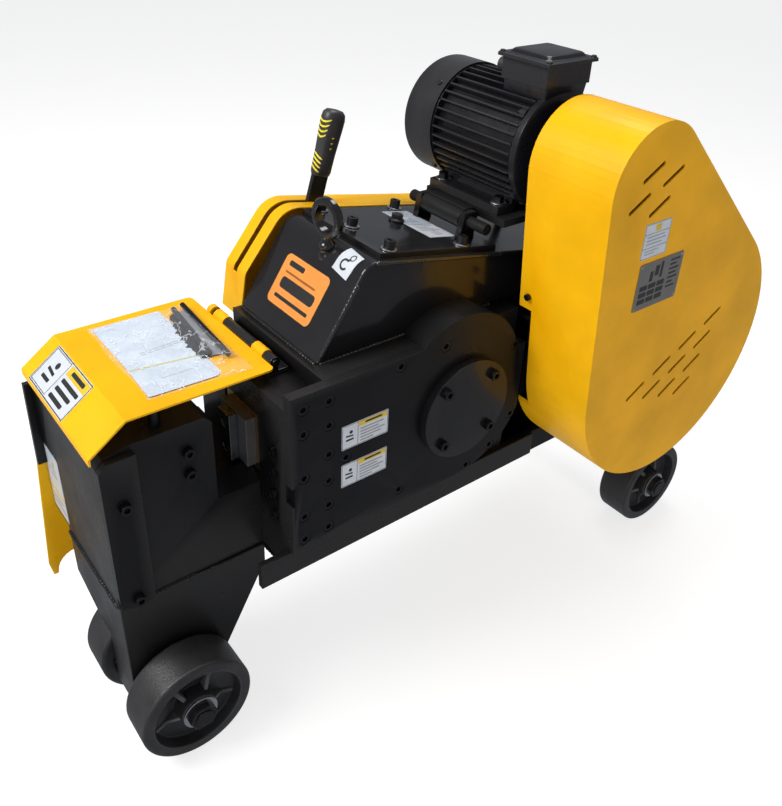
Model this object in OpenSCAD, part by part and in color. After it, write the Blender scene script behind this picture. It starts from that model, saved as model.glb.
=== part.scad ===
// Electric rebar cutter on wheels. X runs from the cutting head to the rear wheels, the belt guard
// side is -Y and the floor is Z = 0. Places are given from the head's end face (x = 0) and a
// plane 80 mm inside the head's near face (y = 0); row_frame() puts the origin under the middle.

/* [Cutting head] */
// Height of the head's end wall
head_top = 585; // [560:1:590]
// Near face of the head
head_near_y = -80; // [-100:1:-70]
// Far face of the head
head_far_y = 132; // [120:1:136]
// Thickness of the end wall along X
end_wall = 55; // [40:1:60]
// Rear face of the fixed blade's block
block_rear_x = 177; // [170:1:178]
// Top of the fixed blade's block
block_top = 594; // [580:1:600]
// Floor of the throat
throat_floor = 458; // [440:1:459]
// Opening between the blades at rest
blade_gap = 42; // [36:1:43]

/* [Gear case] */
// Front face of the case
case_front_x = 251; // [240:1:260]
// Rear face of the case
case_rear_x = 1080; // [1060:1:1100]
// Underside of the case and of the frame rails
case_bottom = 302; // [290:1:310]
// Top of the lower case
case_top = 645; // [640:1:660]
// Near face of the lower case's front half
case_near_y = -160; // [-170:1:-150]
// Far face of the case
case_far_y = 108; // [100:1:112]
// Near face of the upper case and of the lower case's rear half
hood_near_y = -122; // [-130:1:-118]
// Foot of the sloping front of the upper case
hood_foot_x = 332; // [330:1:345]
// Wall thickness of the cases
case_wall = 12; // [10:1:14]
// Fall of the upper case's top per millimetre towards the rear
top_fall = 0.185; // [0.15:0.005:0.2]

/* [Cutting drive] */
// Crankshaft axis, X
crank_x = 592; // [590:1:594]
// Height of the crankshaft
crank_z = 502; // [500:1:504]
// Throw of the eccentric; the stroke is twice this
throw_e = 22; // [18:1:22]
// Radius of the crankshaft's journals
journal_r = 30; // [28:1:30]
// Radius of the eccentric
eccentric_r = 54; // [54:1:56]
// Side of the square slide block
block_side = 130; // [126:1:132]
// Play of the slide block in the ram's window along X
window_play = 5; // [4.7:0.1:6]

/* [Gears] */
// Module of the main gear and its pinion
main_module = 7; // [7:1:7]
// Teeth of the main gear
main_teeth = 50; // [50:1:50]
// Teeth of the countershaft pinion
pinion_teeth = 14; // [14:1:14]
// Module of the first gear pair
first_module = 5; // [5:1:5]
// Teeth of the countershaft gear
first_teeth = 52; // [52:1:52]
// Teeth of the input pinion
input_teeth = 15; // [15:1:15]
// Pressure angle
pressure_angle = 25; // [20:1:25]

/* [Belt drive] */
// Motor axis, X
motor_x = 796; // [790:1:800]
// Height of the motor axis
motor_z = 900; // [895:1:905]
// Drive wheel axis, X
drive_x = 974; // [970:1:976]
// Height of the drive wheel axis
drive_z = 549; // [545:1:552]
// Outer radius of the motor pulley
small_r = 62; // [58:1:66]
// Outer radius of the drive wheel
large_r = 214; // [205:1:220]
// Number of V-belts
belts = 3; // [2:1:3]
// Front face of the belt guard
guard_front_y = -331; // [-340:1:-325]
// Back edge of the belt guard
guard_back_y = -166; // [-168:1:-164]
// Radius of the guard around the motor pulley
guard_small_r = 100; // [95:1:105]
// Radius of the guard around the drive wheel
guard_large_r = 247; // [240:1:250]
// Thickness of the guard's sheet
guard_sheet = 3; // [2:0.5:4]

/* [Motor] */
// Radius of the motor body under its fins
motor_body_r = 88; // [86:1:90]
// Radius over the fins
motor_fin_r = 100; // [98:1:101]
// Number of fins
motor_fins = 40; // [32:4:48]
// Shaft height above the feet
shaft_height = 100; // [100:1:100]
// Foot hole spacing along X
foot_span_x = 160; // [160:1:160]
// Foot hole spacing along Y
foot_span_y = 140; // [140:1:140]
// Near foot holes
foot_near_y = -91; // [-95:1:-88]
// Radius of the fan cowl
cowl_r = 103; // [102:1:105]
// Far end of the fan cowl
cowl_end_y = 146; // [140:1:150]

/* [Lid] */
// Hinge axis of the lid, X
hinge_x = 290; // [286:1:292]
// Height of the lid's hinge
hinge_z = 641; // [640:1:643]
// Front fold of the lid
fold_x = 48; // [44:1:52]
// Front edge of the lid's flap
flap_x = -9; // [-12:1:-6]
// Top of the lid
lid_top = 642; // [641:1:644]
// Near edge of the lid
lid_near_y = -90; // [-92:1:-86]
// Far edge of the lid
lid_far_y = 187; // [180:1:190]
// Thickness of the lid's sheet
lid_sheet = 3; // [2:0.5:4]

/* [Clutch lever] */
// Lever axis, X
lever_x = 452; // [450:1:454]
// Height of the lever axis
lever_z = 612; // [610:1:614]
// Backward lean of the lever at rest
lever_lean = 16; // [14:1:18]
// Length of the lever from its axis to the top of the grip
lever_length = 338; // [330:1:345]
// Far face of the lever's cover
cover_far_y = 173; // [170:1:176]

/* [Wheels] */
// Radius of every wheel
wheel_r = 96; // [90:1:96]
// Width of every wheel
wheel_w = 72; // [68:1:72]
// Radius of the axles
axle_r = 15; // [14:1:16]
// Front axle, X
front_axle_x = 74; // [74:1:80]
// Rear axle, X
rear_axle_x = 1160; // [1156:1:1164]
// Middle of the near front wheel
front_near_y = -129; // [-132:1:-128]
// Middle of the far front wheel
front_far_y = 39; // [39:1:44]
// Middle of the near rear wheel
rear_near_y = -205; // [-210:1:-204]
// Middle of the far rear wheel
rear_far_y = 172; // [170:1:180]

/* [Hidden] */
$fn = 64;

// colours of the painted and bare pieces
black_paint = [0.07, 0.07, 0.08];
yellow_paint = [0.95, 0.68, 0.03];
bare_steel = [0.62, 0.63, 0.65];
dark_steel = [0.25, 0.25, 0.27];
bronze = [0.7, 0.5, 0.25];

// clearances
slide_gap = 0.1;
turn_gap = 0.05;
clear = 0.3;

// the row's origin: middle of the object's box, on the floor
far_guard_front_x = -32;
low_x = far_guard_front_x;
high_x = rear_axle_x + wheel_r;
rear_axle_far_y = rear_far_y + wheel_w / 2 + 20;
mid_x = (low_x + high_x) / 2;
mid_y = (guard_front_y + rear_axle_far_y) / 2;

// derived places
ram_near_y = -70;
ram_far_y = 10;
shear_y = -8;
fixed_face_x = block_rear_x + 3;
moving_face_x = fixed_face_x + blade_gap;
blade_w = 35;
blade_t = 22;
blade_low = 464;
blade_high = 550;
nose_low = 462;
nose_high = 552;
nose_front_x = moving_face_x + blade_t - 8;
block_x = crank_x + throw_e;
window_front_x = block_x - block_side / 2 - window_play;
window_rear_x = block_x + block_side / 2 + window_play;
window_half_z = block_side / 2 + throw_e + 2;
ram_wall = 24;
liner_t = 12;
guide_rear_x = 470;

main_r = main_module * main_teeth / 2;
pinion_r = main_module * pinion_teeth / 2;
first_r = first_module * first_teeth / 2;
input_r = first_module * input_teeth / 2;
main_near_y = 30;
main_far_y = 80;
first_near_y = -100;
first_far_y = -74;

// the countershaft sits where both gear pairs are at their centre distances
span = norm([drive_x - crank_x, drive_z - crank_z]);
main_centre = main_r + pinion_r;
first_centre = first_r + input_r;
along = (main_centre * main_centre - first_centre * first_centre + span * span) / (2 * span);
aside = sqrt(main_centre * main_centre - along * along);
ux = (drive_x - crank_x) / span;
uz = (drive_z - crank_z) / span;
counter_x = crank_x + along * ux + aside * uz;
counter_z = crank_z + along * uz - aside * ux;
main_angle = atan2(counter_z - crank_z, counter_x - crank_x);
first_angle = atan2(drive_z - counter_z, drive_x - counter_x);

top_corner_x = 427.2;
top_corner_z = 789.7;
top_plate_t = 8;
plate_front_x = 458;
plate_rear_x = 705;
motor_floor = motor_z - shaft_height;
foot_far_y = foot_near_y + foot_span_y;
hinge_rod_x = 675;
hinge_rod_z = 782;
jack_x = 890;
jack_ys = [-90, 60];
shield_near_y = -154;
frame_near_y = -120;
frame_far_y = 66;
groove_pitch = 19;
groove_w = 14;
groove_depth = 11;
belt_w = 12.5;
pulley_far_y = -172;
pulley_w = belts * groove_pitch + 7;
drive_w = 90;
cap_r = 93;
cap_t = 14;
plate_outer_y = -178;

// height of the upper case's top at x
function top_z(x) = top_corner_z - top_fall * (x - top_corner_x);

// rounded corner at b between a and c: points on an arc of radius r
function fillet(a, b, c, r, n = 8) =
    let (
        u = (a - b) / norm(a - b),
        v = (c - b) / norm(c - b),
        half = acos(u * v) / 2,
        m = (u + v) / norm(u + v),
        centre = b + m * r / sin(half),
        p = b + u * r / tan(half) - centre,
        q = b + v * r / tan(half) - centre,
        start = atan2(p[1], p[0]),
        turn_raw = atan2(q[1], q[0]) - start,
        turn = turn_raw > 180 ? turn_raw - 360 : turn_raw < -180 ? turn_raw + 360 : turn_raw
    )
    [for (i = [0:n]) centre + r * [cos(start + turn * i / n), sin(start + turn * i / n)]];

// gear tooth geometry
function involute(a) = tan(a) * 180 / PI - a;
function half_tooth(teeth, pitch_r, r) =
    let (base_r = pitch_r * cos(pressure_angle), q = max(r, base_r))
    90 / teeth - 0.04 * 180 / (PI * teeth) * 2
        + involute(pressure_angle) - involute(acos(base_r / q));

module row_frame() {
    translate([-mid_x, -mid_y, 0]) children();
}

// a profile in the XZ plane, extruded from y0 to y1
module xz_slab(y0, y1) {
    translate([0, y1, 0]) rotate([90, 0, 0]) linear_extrude(y1 - y0) children();
}

// a profile in the YZ plane, extruded from x0 to x1
module yz_slab(x0, x1) {
    translate([x0, 0, 0]) rotate([90, 0, 90]) linear_extrude(x1 - x0) children();
}

// a box given by its two corners
module corner_box(a, b) {
    translate(a) cube(b - a);
}

// a cylinder along Y
module y_rod(x, z, r, y0, y1) {
    translate([x, y0, z]) rotate([-90, 0, 0]) cylinder(h = y1 - y0, r = r);
}

// a ring along Y
module y_ring(x, z, r_in, r_out, y0, y1) {
    difference() {
        y_rod(x, z, r_out, y0, y1);
        y_rod(x, z, r_in, y0 - 1, y1 + 1);
    }
}

// turns a profile drawn as [radius, y] about the Y axis through x, z
module y_lathe(x, z) {
    translate([x, 0, z]) rotate([-90, 0, 0]) rotate_extrude() children();
}

// the two-circle outline that the belt, the guard and its back plate share
module belt_outline(r_small, r_large) {
    small_steps = 20;
    large_steps = 48;
    way = [drive_x - motor_x, drive_z - motor_z];
    lean = atan2(way[1], way[0]);
    swing = acos((r_small - r_large) / norm(way));
    polygon(concat(
        [for (i = [0:small_steps])
            let (a = lean + swing + (360 - 2 * swing) * i / small_steps)
            [motor_x, motor_z] + r_small * [cos(a), sin(a)]],
        [for (i = [0:large_steps])
            let (a = lean - swing + 2 * swing * i / large_steps)
            [drive_x, drive_z] + r_large * [cos(a), sin(a)]]
    ));
}

module gear_outline(teeth, tooth_module, phase) {
    pitch_r = teeth * tooth_module / 2;
    root_r = pitch_r - 1.1 * tooth_module;
    tip_r = pitch_r + 0.8 * tooth_module;
    middle_r = (root_r + tip_r) / 2;
    radii = [root_r, middle_r, tip_r, tip_r, middle_r, root_r];
    sides = [-1, -1, -1, 1, 1, 1];
    polygon([
        for (i = [0:teeth - 1], k = [0:5])
            let (a = phase + 360 * i / teeth + sides[k] * half_tooth(teeth, pitch_r, radii[k]))
            radii[k] * [cos(a), sin(a)]
    ]);
}

module gear(x, z, teeth, tooth_module, phase, y0, y1) {
    translate([x, 0, z]) xz_slab(y0, y1) gear_outline(teeth, tooth_module, phase);
}

// hexagon socket screw whose head sits on y = face and whose shank runs to +Y
module socket_screw_y(x, z, face, head_r, head_h, shank_r, shank_l) {
    difference() {
        union() {
            y_rod(x, z, head_r, face - head_h, face);
            y_rod(x, z, shank_r, face, face + shank_l);
        }
        translate([x, face - head_h - 1, z])
            rotate([-90, 0, 0]) cylinder(h = 1 + head_h * 0.6, r = head_r * 0.55, $fn = 6);
    }
}

// hexagon bolt standing on z = face with its shank running down
module hex_bolt_z(x, y, face, head_r, head_h, shank_r, shank_l) {
    translate([x, y, face]) {
        cylinder(h = 2, r = head_r * 1.25);
        translate([0, 0, 2]) cylinder(h = head_h, r = head_r, $fn = 6);
        translate([0, 0, -shank_l]) cylinder(h = shank_l, r = shank_r);
    }
}

// outline shared by the side plate and the case behind it
module side_outline() {
    boss_r = 131;
    round_r = 150;
    rear_x = crank_x + 140;
    translate([case_front_x, case_bottom + 48])
        square([crank_x - case_front_x, case_top - case_bottom - 48]);
    translate([crank_x - 7, crank_z + 46]) circle(boss_r, $fn = 96);
    intersection() {
        translate([crank_x, crank_z]) circle(round_r, $fn = 96);
        translate([case_front_x, crank_z - round_r]) square([rear_x - case_front_x, round_r]);
    }
    translate([crank_x, crank_z]) square([rear_x - crank_x, 81]);
}

// ---------------------------------------------------------------- frame and head

module base_frame() {
    rail_h = 48;
    rail_t = 12;
    front_x = 196;
    rear_x = 1200;
    under_guard_x = 800;
    row_frame() color(black_paint) {
        corner_box([front_x, case_near_y - rail_t, case_bottom],
                   [under_guard_x, case_near_y, case_bottom + rail_h]);
        corner_box([front_x, guard_back_y + clear, case_bottom],
                   [rear_x, case_near_y, case_bottom + rail_h]);
        corner_box([case_front_x, case_far_y, case_bottom],
                   [rear_x, case_far_y + rail_t * 2, case_bottom + rail_h]);
        corner_box([case_rear_x + 70, case_near_y, case_bottom],
                   [rear_x, case_far_y, case_bottom + rail_h]);
        corner_box([crank_x + 150, case_near_y, case_bottom],
                   [case_rear_x, hood_near_y, case_bottom + rail_t]);
    }
}

module rear_brackets() {
    plate_t = 18;
    row_frame() color(black_paint)
    for (y = [rear_near_y + wheel_w / 2 + 5, rear_far_y - wheel_w / 2 - 4 - plate_t]) {
        difference() {
            xz_slab(y, y + plate_t) {
                polygon([
                    [rear_axle_x - 50, case_bottom], [rear_axle_x + 40, case_bottom],
                    [rear_axle_x + 30, wheel_r], [rear_axle_x - 30, wheel_r]
                ]);
                translate([rear_axle_x, wheel_r]) circle(30);
            }
            y_rod(rear_axle_x, wheel_r, axle_r, y - 1, y + plate_t + 1);
        }
    }
}

module front_leg() {
    leg_near_y = -85;
    leg_far_y = -5;
    apron_t = 12;
    apron_low = 178;
    row_frame() color(black_paint)
    difference() {
        union() {
            xz_slab(leg_near_y, leg_far_y)
                polygon([
                    [0, case_bottom], [0, 64], [30, 56], [118, 56], [150, 75],
                    [190, 149], [case_front_x, 262], [case_front_x, case_bottom]
                ]);
            yz_slab(0, apron_t)
                polygon([
                    [leg_far_y, case_bottom], [head_far_y, case_bottom],
                    [head_far_y, 210], [leg_far_y + 40, apron_low], [leg_far_y, apron_low]
                ]);
        }
        y_rod(front_axle_x, wheel_r, axle_r, leg_near_y - 1, leg_far_y + 1);
    }
}

cheek_y = 184;
cheek_t = 10;
cheek_low = 315;
guard_top = 412;

module cutter_head() {
    chute_drop = 24;
    end_plate_t = 16;
    row_frame() color(black_paint)
    difference() {
        union() {
            xz_slab(head_near_y, head_far_y)
                polygon([
                    [0, case_bottom], [0, head_top - 13], [12, head_top], [end_wall, block_top],
                    [block_rear_x - 12, block_top], [block_rear_x, block_top - 12],
                    [block_rear_x, throat_floor], [case_front_x, throat_floor],
                    [case_front_x, case_bottom]
                ]);
            // wing of the end wall and the cheek that closes it on the far side
            corner_box([0, head_far_y - 1, cheek_low],
                       [end_plate_t, cheek_y + cheek_t, head_top - 14]);
            xz_slab(cheek_y, cheek_y + cheek_t)
                polygon([
                    [-12, head_top - 14], [end_wall, head_top - 14], [end_wall, cheek_low],
                    [0, cheek_low], [0, guard_top + 2], [-15, guard_top + 2]
                ]);
        }
        corner_box([fixed_face_x - blade_t - 8, shear_y, blade_low - 2],
                   [block_rear_x + 1, shear_y + blade_w, block_top + 1]);
        for (z = block_screw_zs)
            y_rod(135, z, 5.5, head_near_y - 1, head_near_y + 10);
        // sloping chute on the near side of the throat
        yz_slab(block_rear_x, case_front_x + 1)
            polygon([
                [head_near_y - 1, throat_floor + 1], [head_near_y - 1, throat_floor - chute_drop],
                [head_near_y, throat_floor - chute_drop], [ram_near_y + 20, throat_floor],
                [ram_near_y + 20, throat_floor + 1]
            ]);
    }
}

module head_side_bar() {
    bar_t = 12;
    bar_low = case_bottom + clear;
    corner = 26;
    row_frame() color(black_paint)
    difference() {
        xz_slab(head_near_y - bar_t, head_near_y)
            polygon(concat(
                [[0, head_top - 14], [12, head_top - 2], [end_wall, head_top - 2]],
                [[end_wall, bar_low]],
                fillet([end_wall, bar_low], [0, bar_low], [0, head_top - 14], corner)
            ));
        for (z = bar_screw_zs)
            y_rod(29, z, 5.5, head_near_y - bar_t - 1, head_near_y + 1);
    }
}

bar_screw_zs = [500, 318];

module head_bolts() {
    row_frame() color(dark_steel) {
        for (z = bar_screw_zs)
            socket_screw_y(29, z, head_near_y - 12, 9, 9, 5, 11.5);
        for (z = block_screw_zs)
            socket_screw_y(135, z, head_near_y, 9, 9, 5, 9);
        // studs that the lid rests on
        for (y = [-56, 110])
            translate([100, y, block_top]) cylinder(h = lid_top - lid_sheet - block_top - clear, r = 9);
        for (z = wall_screw_zs)
            translate([case_front_x, wall_screw_y, z]) rotate([0, 90, 0]) difference() {
                union() {
                    translate([0, 0, -8]) cylinder(h = 8, r = 8);
                    cylinder(h = 9, r = 4.5);
                }
                translate([0, 0, -9]) cylinder(h = 5, r = 4.5, $fn = 6);
            }
    }
}

block_screw_zs = [504, 544];
wall_screw_zs = [400, 444, 488, 528];
wall_screw_y = -130;

module far_guard() {
    sheet = 3;
    tip_z = 160;
    scoop = [20, 162];
    scoop_r = 38;
    near_y = cheek_y + cheek_t + clear;
    row_frame() color(yellow_paint)
    xz_slab(near_y, near_y + sheet)
        polygon(concat(
            [[-15, guard_top], [end_wall, guard_top], [end_wall, 236]],
            [for (a = [90:15:180]) scoop + scoop_r * [cos(a), sin(a)]],
            [[-18, tip_z], [far_guard_front_x + 5, tip_z], [far_guard_front_x, tip_z + 30]]
        ));
}

// ---------------------------------------------------------------- gear case

module guide_hole(extra_x) {
    corner_box([case_front_x - 1, ram_near_y - liner_t, nose_low - liner_t],
               [guide_rear_x + extra_x, ram_far_y + liner_t, nose_high + liner_t]);
}

module gear_case() {
    step_x = 318;
    step_z = 618;
    inner_near = hood_near_y + case_wall;
    inner_far = case_far_y - case_wall;
    floor_z = case_bottom + case_wall;
    row_frame() color(black_paint)
    difference() {
        union() {
            difference() {
                union() {
                    corner_box([case_front_x, case_near_y, case_bottom],
                               [crank_x + 130, case_far_y, case_top]);
                    corner_box([crank_x + 129, hood_near_y, case_bottom],
                               [case_rear_x, case_far_y, case_top]);
                    xz_slab(case_near_y, hood_near_y) side_outline();
                }
                corner_box([case_front_x + case_wall, inner_near, floor_z],
                           [step_x + case_wall, inner_far, step_z - case_wall]);
                corner_box([step_x + case_wall, inner_near, floor_z],
                           [case_rear_x - case_wall, inner_far, case_top + 1]);
                corner_box([case_front_x + case_wall, case_near_y + case_wall, floor_z],
                           [crank_x + 130 - case_wall, inner_near + 1, step_z - case_wall]);
                corner_box([case_front_x - 1, case_near_y - 1, step_z],
                           [step_x, case_far_y + 1, case_top + 1]);
            }
            corner_box([case_front_x + case_wall - 1, ram_near_y - liner_t * 2,
                        nose_low - liner_t * 2],
                       [guide_rear_x, ram_far_y + liner_t + 4, nose_high + liner_t * 2]);
        }
        guide_hole(1);
        y_rod(crank_x, crank_z, journal_r + 20, case_near_y - 1, inner_near);
        y_rod(crank_x, crank_z, journal_r + 20, inner_far - 1, case_far_y + 1);
        for (y = [hood_near_y - 1, inner_far - 1]) {
            y_rod(counter_x, counter_z, 44, y, y + case_wall + 2);
            y_rod(drive_x, drive_z, 40, y, y + case_wall + 2);
        }
        y_rod(lever_x, lever_z, 12 + turn_gap, inner_far - 1, case_far_y + 1);
        for (z = wall_screw_zs)
            translate([case_front_x - 1, wall_screw_y, z]) rotate([0, 90, 0]) cylinder(h = 11, r = 5);
    }
}

module hood_profile(wall) {
    foot = [hood_foot_x + wall * 1.2, case_top - (wall > 0 ? 1 : 0)];
    lean = (top_corner_z - case_top) / (top_corner_x - hood_foot_x);
    corner_x = top_corner_x + wall * 0.9;
    corner = [corner_x, top_z(corner_x) - wall];
    rear_x = case_rear_x - wall;
    rear = [rear_x, top_z(rear_x) - wall];
    polygon(concat(
        [foot],
        fillet(foot, corner, rear, 30),
        fillet(corner, rear, [rear_x, case_top], 10),
        [[rear_x, foot[1]]]
    ));
}

module upper_case() {
    wall = 10;
    row_frame() color(black_paint)
    difference() {
        xz_slab(hood_near_y, case_far_y) hood_profile(0);
        xz_slab(hood_near_y + wall, case_far_y - wall) hood_profile(wall);
    }
}

module side_plate() {
    row_frame() color(black_paint)
    difference() {
        xz_slab(plate_outer_y, case_near_y) side_outline();
        y_rod(crank_x, crank_z, journal_r + 20, plate_outer_y - 1, case_near_y + 1);
        for (p = side_screws) {
            y_rod(p[0], p[1], 6, plate_outer_y - 1, case_near_y + 1);
            y_rod(p[0], p[1], 10, plate_outer_y - 1, plate_outer_y + 8);
        }
        // sight notch in the front edge
        corner_box([case_front_x - 1, plate_outer_y - 1, 446],
                   [case_front_x + 5, case_near_y + 1, 482]);
    }
}

// screws of the side plate: two columns at the front, singles and the boss's ring
side_screws = concat(
    [for (z = [620, 576, 494, 418, 371]) [273, z]],
    [for (z = [618, 574, 520, 469, 420, 374]) [318, z]],
    [[350, 500], [461, 381], [452, 630]],
    [for (a = [110, 36, -28, -56, -80]) [crank_x + 142 * cos(a), crank_z + 142 * sin(a)]]
);

module side_plate_bolts() {
    row_frame() color(dark_steel)
    for (p = side_screws)
        socket_screw_y(p[0], p[1], plate_outer_y + 8, 9.5, 7.5, 5.7, 10);
}

module bearing_caps() {
    row_frame() color(black_paint) {
        difference() {
            union() {
                y_rod(crank_x, crank_z, cap_r, plate_outer_y - cap_t, plate_outer_y);
                y_rod(crank_x, crank_z, journal_r + 18, plate_outer_y, plate_outer_y + 4);
            }
            for (a = [45:90:315])
                y_rod(crank_x + 74 * cos(a), crank_z + 74 * sin(a), 6,
                      plate_outer_y - cap_t - 1, plate_outer_y + 1);
        }
        y_rod(crank_x, crank_z, cap_r - 28, case_far_y, case_far_y + cap_t);
        y_rod(counter_x, counter_z, 56, case_far_y, case_far_y + cap_t);
        y_rod(drive_x, drive_z, 52, case_far_y, case_far_y + cap_t);
    }
}

module bearing_cap_bolts() {
    row_frame() color(dark_steel)
    for (a = [45:90:315])
        socket_screw_y(crank_x + 74 * cos(a), crank_z + 74 * sin(a), plate_outer_y - cap_t,
                       9.5, 9, 5.7, cap_t - 1);
}

top_bolts = [[484, -94], [490, 12], [484, 93], [636, -94], [642, 93]];

module top_plate() {
    hole_r = 6;
    lug_t = 12;
    row_frame() color(black_paint)
    difference() {
        union() {
            xz_slab(-107, 106)
                polygon([
                    [plate_front_x, top_z(plate_front_x)], [plate_rear_x, top_z(plate_rear_x)],
                    [plate_rear_x, top_z(plate_rear_x) + top_plate_t],
                    [plate_front_x, top_z(plate_front_x) + top_plate_t]
                ]);
            // lugs of the motor plate's hinge
            for (y = [-70, 42])
                xz_slab(y, y + lug_t)
                    polygon([
                        [hinge_rod_x - 22, top_z(hinge_rod_x - 22) + 4],
                        [hinge_rod_x - 13, hinge_rod_z + 16], [hinge_rod_x + 12, hinge_rod_z + 16],
                        [hinge_rod_x + 12, top_z(hinge_rod_x + 12) + 4]
                    ]);
        }
        y_rod(hinge_rod_x, hinge_rod_z, 10, -80, 60);
        for (p = top_bolts)
            translate([p[0], p[1], top_z(p[0]) - 20]) cylinder(h = 60, r = hole_r);
        translate([596, 28, top_z(596) - 20]) cylinder(h = 60, r = 12);
    }
}

module top_plate_bolts() {
    lean = atan(top_fall);
    row_frame() color(dark_steel)
    for (p = top_bolts)
        translate([p[0], p[1], top_z(p[0]) + top_plate_t])
            rotate([0, lean, 0]) difference() {
                union() {
                    translate([0, 0, 0.5]) cylinder(h = 1.5, r = 12);
                    translate([0, 0, 2]) cylinder(h = 14, r = 9);
                    translate([0, 0, -6]) cylinder(h = 8, r = 4.5);
                }
                translate([0, 0, 9]) cylinder(h = 8, r = 5, $fn = 6);
            }
}

module filler_plug() {
    row_frame() color(dark_steel)
    translate([596, 28, top_z(596) + top_plate_t]) rotate([0, atan(top_fall), 0]) {
        rotate_extrude() polygon([[0, -7], [9, -7], [9, 0.5], [13.5, 0.5], [13.5, 3.5], [11, 5], [0, 5]]);
        translate([0, 0, 4]) cylinder(h = 9, r = 10.5, $fn = 6);
    }
}

eye_x = 422;
eye_y = -19;
eye_ring_r = 33.5;
eye_turn = 5;

module lifting_eye() {
    ring_in = 22;
    base_z = 742;
    collar_z = 782;
    ring_z = 826;
    row_frame() color(dark_steel)
    difference() {
        translate([eye_x, eye_y, 0]) {
            translate([0, 0, base_z]) cylinder(h = collar_z - base_z, r = 12.5);
            translate([0, 0, collar_z]) cylinder(h = ring_z - collar_z - ring_in - 3, r = 8);
            translate([0, 0, ring_z]) rotate([0, -90, eye_turn]) rotate_extrude()
                polygon([[ring_in, -6], [ring_in, 6], [ring_in + 3, 7], [eye_ring_r - 2, 6],
                         [eye_ring_r, 3], [eye_ring_r, -3], [eye_ring_r - 2, -6], [ring_in + 3, -7]]);
        }
        xz_slab(eye_y - 20, eye_y + 20) hood_profile(0);
    }
}

// ---------------------------------------------------------------- motor

module motor_plate() {
    plate_t = 12;
    row_frame() color(black_paint)
    difference() {
        union() {
            corner_box([hinge_rod_x + 18, -131, motor_floor - plate_t], [915, frame_far_y, motor_floor]);
            corner_box([hinge_rod_x, -57, hinge_rod_z - 4], [hinge_rod_x + 30, 41, motor_floor]);
            y_rod(hinge_rod_x, hinge_rod_z, 17, -57, 41);
        }
        y_rod(hinge_rod_x, hinge_rod_z, 10, -60, 60);
    }
}

module motor_hinge_rod() {
    row_frame() color(dark_steel) y_rod(hinge_rod_x, hinge_rod_z, 10, -112, 80);
}

module motor_bolts() {
    foot_t = 14;
    row_frame() color(dark_steel) {
        for (x = [motor_x - foot_span_x / 2, motor_x + foot_span_x / 2], y = [foot_near_y, foot_far_y])
            hex_bolt_z(x, y, motor_floor + foot_t, 9, 10, 5.8, foot_t);
        for (y = jack_ys) {
            translate([jack_x, y, top_z(jack_x) + 1.8])
                cylinder(h = motor_floor - 12 - clear - top_z(jack_x) - 1.8, r = 8);
            translate([jack_x, y, motor_floor - 26]) cylinder(h = 13.5, r = 14, $fn = 6);
            translate([jack_x, y, top_z(jack_x) + 4]) cylinder(h = 13, r = 14, $fn = 6);
        }
    }
}

module motor_frame() {
    foot_t = 14;
    foot_half = 97;
    fin_t = 3;
    inside_out = [motor_body_r, motor_fin_r];
    outside_in = [motor_fin_r, motor_body_r];
    row_frame() color(black_paint)
    difference() {
        union() {
            xz_slab(frame_near_y, frame_far_y) translate([motor_x, motor_z]) polygon([
                for (i = [0:motor_fins - 1], side = [-1, 1], r = side < 0 ? inside_out : outside_in)
                    let (a = 360 * (i + 0.5) / motor_fins + side * asin(fin_t / 2 / r))
                    r * [cos(a), sin(a)]
            ]);
            xz_slab(foot_near_y - 16, foot_far_y + 16)
                polygon([
                    [motor_x - foot_half, motor_floor], [motor_x - 60, motor_floor],
                    [motor_x - 48, motor_floor + 26], [motor_x + 48, motor_floor + 26],
                    [motor_x + 60, motor_floor], [motor_x + foot_half, motor_floor],
                    [motor_x + foot_half, motor_floor + foot_t],
                    [motor_x + 66, motor_floor + foot_t], [motor_x + 52, motor_z - 40],
                    [motor_x - 52, motor_z - 40], [motor_x - 66, motor_floor + foot_t],
                    [motor_x - foot_half, motor_floor + foot_t]
                ]);
            corner_box([motor_x - 46, frame_near_y + 4, motor_z + 60],
                       [motor_x + 46, box_far_y - 4, motor_z + 106]);
        }
        y_rod(motor_x, motor_z, 80, frame_near_y - 1, frame_far_y + 1);
        for (x = [motor_x - foot_span_x / 2, motor_x + foot_span_x / 2], y = [foot_near_y, foot_far_y])
            translate([x, y, motor_floor - 1]) cylinder(h = foot_t + 6, r = 6);
    }
}

module stator() {
    row_frame() color([0.6, 0.35, 0.15]) {
        y_ring(motor_x, motor_z, 50, 80, -80, 30);
        y_ring(motor_x, motor_z, 54, 76, -104, -80);
        y_ring(motor_x, motor_z, 54, 76, 30, 54);
    }
}

module motor_end_shields() {
    seat_r = 31;
    row_frame() color(black_paint) {
        y_lathe(motor_x, motor_z)
            polygon([[seat_r, -148], [48, -152], [90, -136], [99, -132], [99, frame_near_y - 1],
                     [88, frame_near_y - 1], [78, frame_near_y], [78, -126], [seat_r, -130]]);
        y_lathe(motor_x, motor_z)
            polygon([[seat_r, frame_far_y], [99, frame_far_y], [99, frame_far_y + 8],
                     [seat_r, frame_far_y + 14]]);
    }
}

module fan_cowl() {
    sheet = 2;
    start_y = frame_far_y + 9;
    row_frame() color(black_paint)
    difference() {
        y_rod(motor_x, motor_z, cowl_r, start_y, cowl_end_y);
        y_rod(motor_x, motor_z, cowl_r - sheet, start_y - 1, cowl_end_y - sheet);
        for (ring = [1:3], i = [0:11])
            y_rod(motor_x + 25 * ring * cos(30 * i + 15 * ring),
                  motor_z + 25 * ring * sin(30 * i + 15 * ring),
                  2.5 + 1.5 * ring, cowl_end_y - sheet - 1, cowl_end_y + 1);
    }
}

box_near_y = -136;
box_far_y = -38;
box_top = motor_z + 140;
gland_x = motor_x - 28;

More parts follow.
